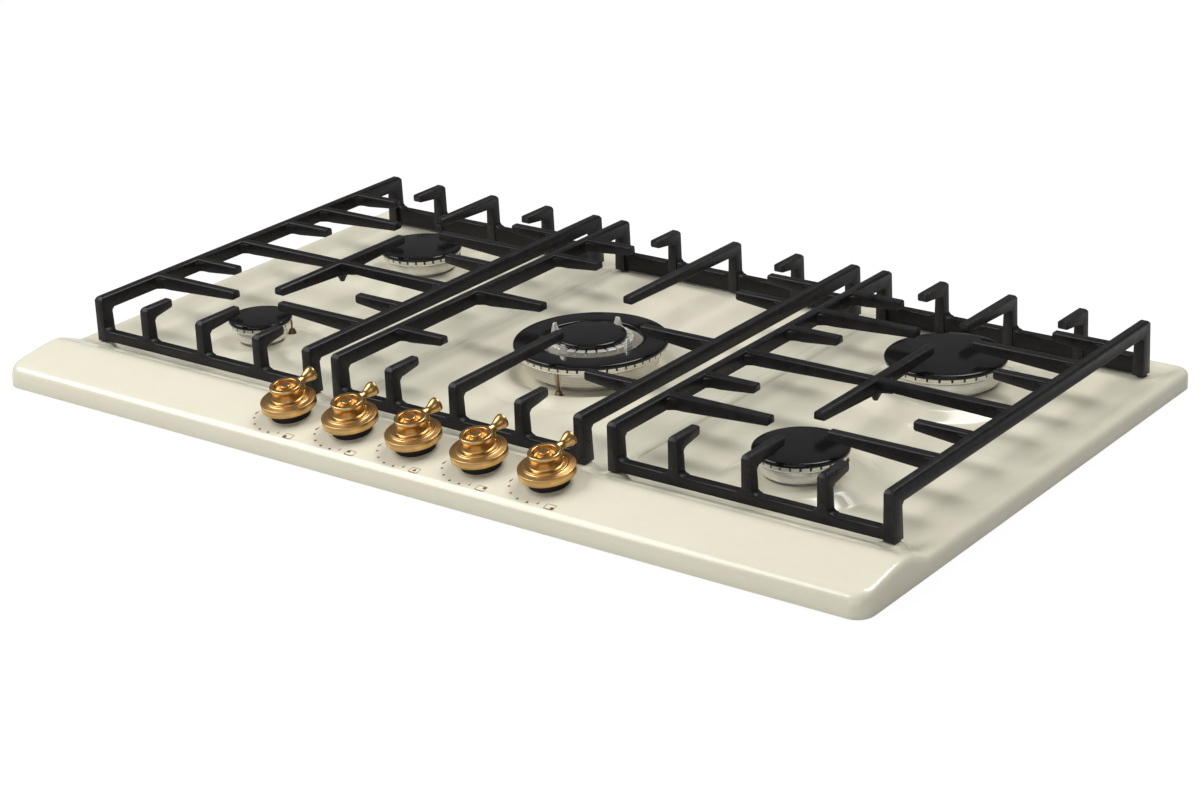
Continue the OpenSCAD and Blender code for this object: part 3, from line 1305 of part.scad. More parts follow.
top_tray();
rim_seal();
under_box();
left_grate();
centre_grate();
right_grate();
left_grate_feet();
centre_grate_feet();
right_grate_feet();
left_front_cup();
left_rear_cup();
wok_cup();
right_rear_cup();
right_front_cup();
left_front_crown();
left_rear_crown();
wok_crown();
right_rear_crown();
right_front_crown();
left_front_cap();
left_rear_cap();
wok_ring_cap();
right_rear_cap();
right_front_cap();
wok_inner_crown();
wok_inner_cap();
burner_gaskets();
burner_screws();
injectors();
spark_plugs();
flame_sensors();
left_front_knob();
left_rear_knob();
wok_knob();
right_rear_knob();
right_front_knob();
left_front_spindle();
left_rear_spindle();
wok_spindle();
right_rear_spindle();
right_front_spindle();
left_front_plunger();
left_rear_plunger();
wok_plunger();
right_rear_plunger();
right_front_plunger();
knob_seals();
gas_taps();
tap_screws();
gas_rail();
rail_brackets();
supply_pipes();
pipe_nuts();
gas_inlet();
ignition_module();
terminal_block();
cable_gland();
worktop_clamps();
clamp_screws();
box_screws();
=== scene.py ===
"""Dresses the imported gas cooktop: cream enamel, cast pan supports, burners and turned brass knobs.

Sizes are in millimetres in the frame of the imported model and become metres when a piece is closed.
"""

import json
import logging
import math
from dataclasses import dataclass
from enum import Enum
from typing import Callable, Sequence

import bmesh
import bpy
from mathutils import Matrix, Vector


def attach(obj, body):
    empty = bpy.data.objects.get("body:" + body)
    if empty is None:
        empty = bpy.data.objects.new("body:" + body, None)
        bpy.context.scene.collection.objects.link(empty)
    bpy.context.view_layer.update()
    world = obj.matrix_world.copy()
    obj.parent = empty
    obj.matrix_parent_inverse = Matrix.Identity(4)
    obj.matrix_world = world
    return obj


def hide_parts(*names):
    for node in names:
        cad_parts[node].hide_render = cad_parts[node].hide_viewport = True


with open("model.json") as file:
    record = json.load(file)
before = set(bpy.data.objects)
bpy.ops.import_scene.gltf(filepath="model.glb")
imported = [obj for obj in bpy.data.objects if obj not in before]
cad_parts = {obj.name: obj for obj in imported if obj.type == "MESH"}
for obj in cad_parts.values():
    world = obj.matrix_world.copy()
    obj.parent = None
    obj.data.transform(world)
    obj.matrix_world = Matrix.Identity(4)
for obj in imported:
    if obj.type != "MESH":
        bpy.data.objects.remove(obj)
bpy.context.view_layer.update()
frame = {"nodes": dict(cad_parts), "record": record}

LOG = logging.getLogger("cooktop")
MM = 0.001
FULL_TURN = 2 * math.pi
TUBE_IN = 7.0
TUBE_OUT = 8.5
TUBE_DEPTH = 12.0
CAP_THICK = 4.2
CAP_ROUND = 1.9
CAP_FOOT = 1.0
CAP_FALL = 0.35
CAP_FLAT_IN = 3.5
RING_WALL = 2.0
TOOTH_SINK = 0.02
TOOTH_ROUND = 0.25
Point = tuple[float, float]
Colour = tuple[float, float, float, float]


def ease(share: float) -> float:
    """Smooth step from 0 to 1.

    Args:
        share: Place between the start (0) and the end (1).

    Returns:
        The eased share.
    """
    u = min(max(share, 0.0), 1.0)
    return u * u * (3 - 2 * u)


def soft_max(a: float, b: float, blend: float) -> float:
    """Larger of two heights with a rounded crossing.

    Args:
        a: One height.
        b: The other height.
        blend: Difference within which the two are rounded into each other.

    Returns:
        The blended height.
    """
    near = max(blend - abs(a - b), 0.0) / blend
    return max(a, b) + near * near * blend / 4


def soft_min(a: float, b: float, blend: float) -> float:
    """Smaller of two heights with a rounded crossing, as soft_max."""
    return -soft_max(-a, -b, blend)


def arc(centre: Point, radius: float, start: float, end: float, steps: int = 5) -> list[Point]:
    """Points of an arc in a turned outline.

    Args:
        centre: Centre of the arc as (radius from the axis, height).
        radius: Radius of the arc.
        start: First angle in degrees, 0 outwards and 90 upwards.
        end: Last angle in degrees.
        steps: Number of chords.

    Returns:
        The points from the first angle to the last.
    """
    turns = [math.radians(start + (end - start) * k / steps) for k in range(steps + 1)]
    return [(centre[0] + radius * math.cos(t), centre[1] + radius * math.sin(t)) for t in turns]


class Finish(Enum):
    """Finishes of the cooktop, by the material slot of the record."""

    CREAM_ENAMEL = "cream_enamel"
    CAST_IRON = "cast_iron"
    BLACK_ENAMEL = "black_enamel"
    BURNER_ALLOY = "burner_alloy"
    CAST_ALUMINIUM = "cast_aluminium"
    KNOB_BRASS = "knob_brass"
    PLATED_STEEL = "plated_steel"
    GALVANISED_STEEL = "galvanised_steel"
    BLACK_RUBBER = "black_rubber"
    PLAIN_BRASS = "plain_brass"
    WHITE_CERAMIC = "white_ceramic"
    SENSOR_COPPER = "sensor_copper"
    BLACK_PLASTIC = "black_plastic"
    WHITE_PLASTIC = "white_plastic"
    DIAL_PRINT = "dial_print"


class Pattern(Enum):
    """How a finish's fine lines run over the surface."""

    EVEN = "even"
    TURNED = "turned"


@dataclass(frozen=True)
class Surface:
    """Looks of one finish.

    The grain is a fine noise over the surface, sized in lines per metre. A lighter colour on the outer edges
    is partly wear and partly a painted highlight.
    """

    colour: Colour
    second: Colour
    rough: float
    rough_spread: float = 0.05
    metallic: float = 0.0
    sheen: float = 0.5
    coat: float = 0.0
    grain: float = 600.0
    bump: float = 0.1
    bump_depth: float = 0.0001
    # Painted highlight with some wear: amount and colour of a lighter tone laid over the outer edges.
    wear_and_highlight: float = 0.0
    wear_and_highlight_colour: Colour = (0.2, 0.2, 0.2, 1.0)
    pattern: Pattern = Pattern.EVEN


SURFACES: dict[Finish, Surface] = {
    Finish.CREAM_ENAMEL: Surface(
        colour=(0.765, 0.73, 0.59, 1), second=(0.74, 0.705, 0.56, 1), rough=0.17, rough_spread=0.02,
        coat=0.15, grain=140, bump=0.05, bump_depth=0.00025),
    # Cast iron gets a painted highlight, with some wear, as a lighter colour on its outer edges.
    Finish.CAST_IRON: Surface(
        colour=(0.0062, 0.0058, 0.0062, 1), second=(0.0125, 0.0115, 0.0122, 1), rough=0.34,
        rough_spread=0.08, sheen=0.16, grain=900, bump=0.35, bump_depth=0.00016, wear_and_highlight=0.3,
        wear_and_highlight_colour=(0.2, 0.19, 0.195, 1)),
    Finish.BLACK_ENAMEL: Surface(
        colour=(0.004, 0.004, 0.0045, 1), second=(0.0075, 0.0075, 0.0085, 1), rough=0.16,
        rough_spread=0.02, sheen=0.28, coat=0.1, grain=420, bump=0.02, bump_depth=0.00008),
    Finish.BURNER_ALLOY: Surface(
        colour=(0.84, 0.815, 0.745, 1), second=(0.76, 0.735, 0.665, 1), rough=0.3, rough_spread=0.08,
        metallic=0.55, grain=900, bump=0.1, bump_depth=0.00006, pattern=Pattern.TURNED),
    Finish.CAST_ALUMINIUM: Surface(
        colour=(0.55, 0.56, 0.57, 1), second=(0.42, 0.43, 0.44, 1), rough=0.52, rough_spread=0.1,
        metallic=1.0, grain=1400, bump=0.4, bump_depth=0.0001),
    Finish.KNOB_BRASS: Surface(
        colour=(0.72, 0.46, 0.19, 1), second=(0.48, 0.28, 0.1, 1), rough=0.27, rough_spread=0.06,
        metallic=1.0, grain=2600, bump=0.05, bump_depth=0.00003, pattern=Pattern.TURNED),
    Finish.PLATED_STEEL: Surface(
        colour=(0.6, 0.6, 0.61, 1), second=(0.48, 0.48, 0.5, 1), rough=0.28, rough_spread=0.08,
        metallic=1.0, grain=1500, bump=0.1, bump_depth=0.00004),
    Finish.GALVANISED_STEEL: Surface(
        colour=(0.6, 0.61, 0.63, 1), second=(0.42, 0.43, 0.46, 1), rough=0.4, rough_spread=0.14,
        metallic=1.0, grain=70, bump=0.06, bump_depth=0.0001),
    Finish.BLACK_RUBBER: Surface(
        colour=(0.006, 0.006, 0.006, 1), second=(0.012, 0.012, 0.012, 1), rough=0.62, rough_spread=0.1,
        sheen=0.3, grain=1500, bump=0.2, bump_depth=0.0001),
    Finish.PLAIN_BRASS: Surface(
        colour=(0.74, 0.53, 0.22, 1), second=(0.6, 0.41, 0.16, 1), rough=0.3, rough_spread=0.08,
        metallic=1.0, grain=1500, bump=0.1, bump_depth=0.00004),
    Finish.WHITE_CERAMIC: Surface(
        colour=(0.82, 0.81, 0.76, 1), second=(0.74, 0.72, 0.66, 1), rough=0.2, coat=0.4, grain=400,
        bump=0.05, bump_depth=0.00005),
    Finish.SENSOR_COPPER: Surface(
        colour=(0.3, 0.2, 0.1, 1), second=(0.2, 0.13, 0.07, 1), rough=0.34, rough_spread=0.12,
        metallic=1.0, grain=1500, bump=0.15, bump_depth=0.00005),
    Finish.BLACK_PLASTIC: Surface(
        colour=(0.02, 0.02, 0.021, 1), second=(0.03, 0.03, 0.031, 1), rough=0.5, rough_spread=0.08,
        grain=1800, bump=0.3, bump_depth=0.00006),
    Finish.WHITE_PLASTIC: Surface(
        colour=(0.76, 0.75, 0.7, 1), second=(0.7, 0.69, 0.64, 1), rough=0.42, rough_spread=0.05,
        grain=1800, bump=0.2, bump_depth=0.00005),
    Finish.DIAL_PRINT: Surface(
        colour=(0.14, 0.06, 0.016, 1), second=(0.2, 0.09, 0.026, 1), rough=0.35, grain=2500, bump=0.1,
        bump_depth=0.00002),
}


class Workshop:
    """Builds the shader node groups once and the materials from them."""

    TURNED_ATTRIBUTE = "turned"
    COARSE_SCALE = 0.12
    FINE_SHARE = 0.4
    MASK_RANGE = (0.35, 0.65)
    EDGE_RANGE = (0.515, 0.6)
    BREAK_SCALE = 260
    COAT_ROUGH = 0.06

    def __init__(self) -> None:
        """Makes the groups that the materials share."""
        self.made: dict[Finish, bpy.types.Material] = {}
        self.grain = self._grain_group()
        # Edge mask for the painted highlight with some wear.
        self.wear_and_highlight = self._wear_and_highlight_group()

    @staticmethod
    def _group(name: str, inputs: Sequence[tuple[str, str]], outputs: Sequence[tuple[str, str]]
               ) -> bpy.types.ShaderNodeTree:
        """Starts a node group with named sockets.

        Args:
            name: Name of the group.
            inputs: Name and socket type of each input.
            outputs: Name and socket type of each output.

        Returns:
            The group, with its input and output nodes.
        """
        tree = bpy.data.node_groups.new(name, "ShaderNodeTree")
        for label, kind in inputs:
            tree.interface.new_socket(name=label, in_out="INPUT", socket_type=kind)
        for label, kind in outputs:
            tree.interface.new_socket(name=label, in_out="OUTPUT", socket_type=kind)
        tree.nodes.new("NodeGroupInput").name = "into"
        tree.nodes.new("NodeGroupOutput").name = "out"
        return tree

    @staticmethod
    def _math(nodes: bpy.types.Nodes, operation: str, second: float | None = None
              ) -> bpy.types.ShaderNodeMath:
        """A sum or product of two values.

        Args:
            nodes: Where the node goes.
            operation: Its operation.
            second: Its second value, if that isn't linked.

        Returns:
            The node.
        """
        node = nodes.new("ShaderNodeMath")
        node.operation = operation
        if second is not None:
            node.inputs[1].default_value = second
        return node

    def _grain_group(self) -> bpy.types.ShaderNodeTree:
        """Fine and coarse noise over a vector, as a mask and a height."""
        tree = self._group("surface_grain",
                           [("Vector", "NodeSocketVector"), ("Scale", "NodeSocketFloat")],
                           [("Mask", "NodeSocketFloat"), ("Height", "NodeSocketFloat")])
        nodes = tree.nodes
        links = tree.links
        fine = nodes.new("ShaderNodeTexNoise")
        fine.inputs["Detail"].default_value = 4
        coarse = nodes.new("ShaderNodeTexNoise")
        coarse.inputs["Detail"].default_value = 2
        shrink = self._math(nodes, "MULTIPLY", self.COARSE_SCALE)
        links.new(nodes["into"].outputs["Vector"], fine.inputs["Vector"])
        links.new(nodes["into"].outputs["Vector"], coarse.inputs["Vector"])
        links.new(nodes["into"].outputs["Scale"], fine.inputs["Scale"])
        links.new(nodes["into"].outputs["Scale"], shrink.inputs[0])
        links.new(shrink.outputs[0], coarse.inputs["Scale"])
        both = self._math(nodes, "MULTIPLY_ADD", self.FINE_SHARE)
        part = self._math(nodes, "MULTIPLY", 1 - self.FINE_SHARE)
        links.new(coarse.outputs["Fac"], part.inputs[0])
        links.new(fine.outputs["Fac"], both.inputs[0])
        links.new(part.outputs[0], both.inputs[2])
        spread = nodes.new("ShaderNodeMapRange")
        spread.inputs["From Min"].default_value = self.MASK_RANGE[0]
        spread.inputs["From Max"].default_value = self.MASK_RANGE[1]
        links.new(both.outputs[0], spread.inputs["Value"])
        links.new(spread.outputs["Result"], nodes["out"].inputs["Mask"])
        links.new(fine.outputs["Fac"], nodes["out"].inputs["Height"])
        return tree

    def _wear_and_highlight_group(self) -> bpy.types.ShaderNodeTree:
        """Mask of the outer edges, broken up by a noise, for a painted highlight with some wear."""
        tree = self._group("edge_wear_and_highlight",
                           [("Vector", "NodeSocketVector"), ("Amount", "NodeSocketFloat")],
                           [("Mask", "NodeSocketFloat")])
        nodes = tree.nodes
        links = tree.links
        shape = nodes.new("ShaderNodeNewGeometry")
        edge = nodes.new("ShaderNodeMapRange")
        edge.inputs["From Min"].default_value = self.EDGE_RANGE[0]
        edge.inputs["From Max"].default_value = self.EDGE_RANGE[1]
        noise = nodes.new("ShaderNodeTexNoise")
        noise.inputs["Scale"].default_value = self.BREAK_SCALE
        noise.inputs["Detail"].default_value = 3
        broken = self._math(nodes, "MULTIPLY")
        much = self._math(nodes, "MULTIPLY")
        links.new(shape.outputs["Pointiness"], edge.inputs["Value"])
        links.new(nodes["into"].outputs["Vector"], noise.inputs["Vector"])
        links.new(edge.outputs["Result"], broken.inputs[0])
        links.new(noise.outputs["Fac"], broken.inputs[1])
        links.new(broken.outputs[0], much.inputs[0])
        links.new(nodes["into"].outputs["Amount"], much.inputs[1])
        links.new(much.outputs[0], nodes["out"].inputs["Mask"])
        return tree

    def material(self, finish: Finish) -> bpy.types.Material:
        """Material of a finish, built the first time it is asked for.

        Args:
            finish: The finish.

        Returns:
            Its material.
        """
        if finish not in self.made:
            self.made[finish] = self._build(finish, SURFACES[finish])
        return self.made[finish]

    def _build(self, finish: Finish, look: Surface) -> bpy.types.Material:
        """Builds one material.

        Args:
            finish: The finish, whose slot names the material.
            look: Its values.

        Returns:
            The material.
        """
        made = bpy.data.materials.new(finish.value)
        made.use_nodes = True
        nodes = made.node_tree.nodes
        links = made.node_tree.links
        shader = nodes["Principled BSDF"]
        shader.inputs["Metallic"].default_value = look.metallic
        shader.inputs["Specular IOR Level"].default_value = look.sheen
        shader.inputs["Coat Weight"].default_value = look.coat
        shader.inputs["Coat Roughness"].default_value = self.COAT_ROUGH
        if look.pattern is Pattern.TURNED:
            where = nodes.new("ShaderNodeAttribute")
            where.attribute_name = self.TURNED_ATTRIBUTE
            vector = where.outputs["Vector"]
        else:
            where = nodes.new("ShaderNodeTexCoord")
            vector = where.outputs["Object"]
        grain = nodes.new("ShaderNodeGroup")
        grain.node_tree = self.grain
        grain.inputs["Scale"].default_value = look.grain
        links.new(vector, grain.inputs["Vector"])
        colours = nodes.new("ShaderNodeMix")
        colours.data_type = "RGBA"
        colours.inputs["A"].default_value = look.colour
        colours.inputs["B"].default_value = look.second
        links.new(grain.outputs["Mask"], colours.inputs["Factor"])
        result = colours.outputs["Result"]
        # A painted highlight with some wear: a lighter colour on the outer edges.
        if look.wear_and_highlight:
            result = self._add_wear_and_highlight(nodes, links, look, result)
        links.new(result, shader.inputs["Base Color"])
        rough = nodes.new("ShaderNodeMapRange")
        rough.inputs["To Min"].default_value = look.rough - look.rough_spread
        rough.inputs["To Max"].default_value = look.rough + look.rough_spread
        links.new(grain.outputs["Mask"], rough.inputs["Value"])
        links.new(rough.outputs["Result"], shader.inputs["Roughness"])
        bump = nodes.new("ShaderNodeBump")
        bump.inputs["Strength"].default_value = look.bump
        bump.inputs["Distance"].default_value = look.bump_depth
        links.new(grain.outputs["Height"], bump.inputs["Height"])
        links.new(bump.outputs["Normal"], shader.inputs["Normal"])
        return made

    def _add_wear_and_highlight(self, nodes: bpy.types.Nodes, links: bpy.types.NodeLinks, look: Surface,
                  under: bpy.types.NodeSocket) -> bpy.types.NodeSocket:
        """Lays a lighter colour over the outer edges: a painted highlight, with some wear.

        Args:
            nodes: Nodes of the material.
            links: Links of the material.
            look: Values of the finish.
            under: Colour below the painted edge highlight and wear.

        Returns:
            The socket with the colour, lighter at the edges from the painted highlight and wear.
        """
        where = nodes.new("ShaderNodeTexCoord")
        # Edge mask of the painted highlight with some wear.
        wear_and_highlight = nodes.new("ShaderNodeGroup")
        wear_and_highlight.node_tree = self.wear_and_highlight
        wear_and_highlight.inputs["Amount"].default_value = look.wear_and_highlight
        links.new(where.outputs["Object"], wear_and_highlight.inputs["Vector"])
        mix = nodes.new("ShaderNodeMix")
        mix.data_type = "RGBA"
        mix.inputs["B"].default_value = look.wear_and_highlight_colour
        links.new(wear_and_highlight.outputs["Mask"], mix.inputs["Factor"])
        links.new(under, mix.inputs["A"])
        return mix.outputs["Result"]


@dataclass
class Place:
    """Where a turned shape stands: its foot in millimetres and the direction of its axis."""

    x: float = 0.0
    y: float = 0.0
    z: float = 0.0
    tilt: float = 0.0
    turn: float = 0.0

    def matrix(self) -> Matrix:
        """Matrix from the shape's own frame: turn about Z first, then tilt about X, then the place."""
        return (Matrix.Translation((self.x, self.y, self.z))
                @ Matrix.Rotation(math.radians(self.tilt), 4, "X")
                @ Matrix.Rotation(math.radians(self.turn), 4, "Z"))


class Shape:
    """A mesh in millimetres that becomes one piece of the cooktop."""

    SHARP = math.radians(36)
    MERGE = 0.002

    def __init__(self) -> None:
        """Starts with nothing in it."""
        self.bm = bmesh.new()

    def turned(self, outline: Sequence[Point], steps: int = 96, close: bool = True
               ) -> list[bmesh.types.BMVert]:
        """Turns an outline about the Z axis.

        Args:
            outline: Points as (radius, height), anticlockwise in that plane.
            steps: Number of steps round the axis.
            close: Whether the last point joins the first.

        Returns:
            The new vertices.
        """
        verts = [self.bm.verts.new((r, 0.0, z)) for r, z in outline]
        pairs = list(zip(verts, verts[1:]))
        if close and not (outline[0][0] == 0 and outline[-1][0] == 0):
            pairs.append((verts[-1], verts[0]))
        edges = [self.bm.edges.new(pair) for pair in pairs]
        before = set(self.bm.verts) - set(verts)
        bmesh.ops.spin(self.bm, geom=verts + edges, cent=(0, 0, 0), axis=(0, 0, 1), dvec=(0, 0, 0),
                       angle=FULL_TURN, steps=steps, use_merge=True, use_normal_flip=False,
                       use_duplicate=False)
        made = [v for v in self.bm.verts if v not in before]
        bmesh.ops.remove_doubles(self.bm, verts=made, dist=self.MERGE)
        made = [v for v in self.bm.verts if v not in before]
        faces = list({f for v in made for f in v.link_faces})
        bmesh.ops.recalc_face_normals(self.bm, faces=faces)
        return made

    def raised(self, outline: Sequence[Point], low: float, high: float) -> list[bmesh.types.BMVert]:
        """Raises a flat outline along Z.

        Args:
            outline: Points as (x, y), anticlockwise seen from above.
            low: Height of the lower face.
            high: Height of the upper face.

        Returns:
            The new vertices.
        """
        verts = [self.bm.verts.new((x, y, low)) for x, y in outline]
        face = self.bm.faces.new(verts)
        grown = bmesh.ops.extrude_face_region(self.bm, geom=[face])
        top = [g for g in grown["geom"] if isinstance(g, bmesh.types.BMVert)]
        bmesh.ops.translate(self.bm, verts=top, vec=(0, 0, high - low))
        bmesh.ops.recalc_face_normals(self.bm, faces=list({f for v in verts + top for f in v.link_faces}))
        return verts + top

    def rounded(self, verts: Sequence[bmesh.types.BMVert], width: float, segments: int = 2,
                angle: float = 40.0) -> None:
        """Rounds the edges between the given vertices that are sharper than an angle.

        Args:
            verts: Vertices of the shape to round.
            width: Width of the rounding.
            segments: Steps across it.
            angle: Least angle between two faces, in degrees.
        """
        chosen = set(verts)
        limit = math.radians(angle)
        edges = [e for e in self.bm.edges
                 if e.verts[0] in chosen and e.verts[1] in chosen and len(e.link_faces) == 2
                 and e.calc_face_angle(0.0) > limit]
        bmesh.ops.bevel(self.bm, geom=edges, offset=width, offset_type="OFFSET", segments=segments,
                        profile=0.5, affect="EDGES", clamp_overlap=True, material=-1)

    def placed(self, place: Place, verts: Sequence[bmesh.types.BMVert] | None = None) -> None:
        """Moves vertices, or the whole shape, from its own frame to its place."""
        bmesh.ops.transform(self.bm, matrix=place.matrix(), verts=list(verts or self.bm.verts))

    def close(self, name: str, finish: Finish, body: str, shop: Workshop, *replaced: str,
              axis: Place | None = None) -> bpy.types.Object:
        """Makes the object, gives it its finish and lets it ride.

        Args:
            name: Name of the piece.
            finish: Its finish.
            body: The body that it rides on.
            shop: Where the materials come from.
            *replaced: Nodes that it stands for.
            axis: Axis of its turned lines, if it has any.

        Returns:
            The finished object.
        """
        bmesh.ops.scale(self.bm, vec=(MM, MM, MM), verts=self.bm.verts)
        settle(self.bm)
        mesh = bpy.data.meshes.new(name)
        self.bm.to_mesh(mesh)
        self.bm.free()
        return finish_piece(mesh, name, finish, body, shop, *replaced, axis=axis)


def finish_piece(mesh: bpy.types.Mesh, name: str, finish: Finish, body: str, shop: Workshop,
                 *replaced: str, axis: Place | None = None) -> bpy.types.Object:
    """Turns a mesh in metres into a riding piece.

    Args:
        mesh: The mesh, in place.
        name: Name of the piece.
        finish: Its finish.
        body: The body that it rides on.
        shop: Where the materials come from.
        *replaced: Nodes that it stands for.
        axis: Axis of its turned lines, if it has any.

    Returns:
        The object.
    """
    for face in mesh.polygons:
        face.use_smooth = True
    mesh.set_sharp_from_angle(angle=Shape.SHARP)
    if axis is not None:
        mark_turning(mesh, axis)
    piece = bpy.data.objects.new(name, mesh)
    bpy.context.scene.collection.objects.link(piece)
    mesh.materials.clear()
    mesh.materials.append(shop.material(finish))
    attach(piece, body)
    if replaced:
        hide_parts(*replaced)
    LOG.info("%s: %d faces, %s, rides on %s", name, len(mesh.polygons), finish.value, body)
    return piece


def mark_turning(mesh: bpy.types.Mesh, axis: Place) -> None:
    """Stores each vertex's radius and height from an axis, for lines left by turning.

    Args:
        mesh: The mesh, in metres.
        axis: The axis, in millimetres.
    """
    back = axis.matrix().inverted()
    store = mesh.attributes.new(Workshop.TURNED_ATTRIBUTE, "FLOAT_VECTOR", "POINT")
    for vertex, entry in zip(mesh.vertices, store.data):
        local = back @ (vertex.co / MM)
        entry.vector = (math.hypot(local.x, local.y) * MM, local.z * MM, 0.0)


def settle(bm: bmesh.types.BMesh) -> None:
    """Numbers vertices, edges and faces by their places, because spin and solidify leave any order.

    Args:
        bm: The mesh.
    """
    for parts, key in ((bm.verts, lambda vert: tuple(vert.co)),
                       (bm.edges, lambda edge: sorted(vert.index for vert in edge.verts)),
                       (bm.faces, lambda face: sorted(vert.index for vert in face.verts))):
        for number, part in enumerate(sorted(parts, key=key)):
            part.index = number
        parts.sort()


def cut_away(target: bmesh.types.BMesh, tool: bmesh.types.BMesh) -> bmesh.types.BMesh:
    """Cuts one closed mesh out of another.

    Args:
        target: The mesh that is cut.
        tool: The mesh that is taken away.

    Returns:
        A new mesh with the result; both inputs are freed.
    """
    holders = []
    for number, source in enumerate((target, tool)):
        mesh = bpy.data.meshes.new(f"cut_{number}")
        settle(source)
        source.to_mesh(mesh)
        source.free()
        holder = bpy.data.objects.new(f"cut_{number}", mesh)
        bpy.context.scene.collection.objects.link(holder)
        holders.append(holder)
    cutter = holders[0].modifiers.new("cut", "BOOLEAN")
    cutter.operation = "DIFFERENCE"
    cutter.solver = "EXACT"
    cutter.object = holders[1]
    evaluated = holders[0].evaluated_get(bpy.context.evaluated_depsgraph_get())
    result = bmesh.new()
    result.from_mesh(evaluated.to_mesh())
    evaluated.to_mesh_clear()
    for holder in holders:
        mesh = holder.data
        bpy.data.objects.remove(holder)
        bpy.data.meshes.remove(mesh)
    return result


@dataclass(frozen=True)
class Burner:
    """One burner: its place, its cap and what stands beside it."""

    name: str
    x: float
    y: float
    cap_r: float
    slots: int
    extra: float = 0.0
    plug_turn: float = 128.0
    sensor_turn: float = 62.0

    BODY_IN = 5.5
    BAND_IN = 2.0

    @property
    def body_r(self) -> float:
        """Radius of the plain skirt."""
        return self.cap_r - self.BODY_IN

    @property
    def band_r(self) -> float:
        """Radius of the slotted band."""
        return self.cap_r - self.BAND_IN

    @property
    def axis(self) -> Place:
        """The burner's axis."""
        return Place(self.x, self.y)


SIDE_X = 277.0
FRONT_Y = -96.0
REAR_Y = 119.0
WOK_Y = 10.7
PLAIN_BURNERS = (
    Burner("left_front", -SIDE_X, FRONT_Y, 27.5, 20),
    Burner("left_rear", -SIDE_X, REAR_Y, 37.5, 28),
    Burner("right_rear", SIDE_X, REAR_Y, 50.0, 30, extra=1.5),
    Burner("right_front", SIDE_X, FRONT_Y, 37.5, 28),
)
WOK = Burner("wok", 0.0, WOK_Y, 65.5, 48, plug_turn=150.0, sensor_turn=-82.0)


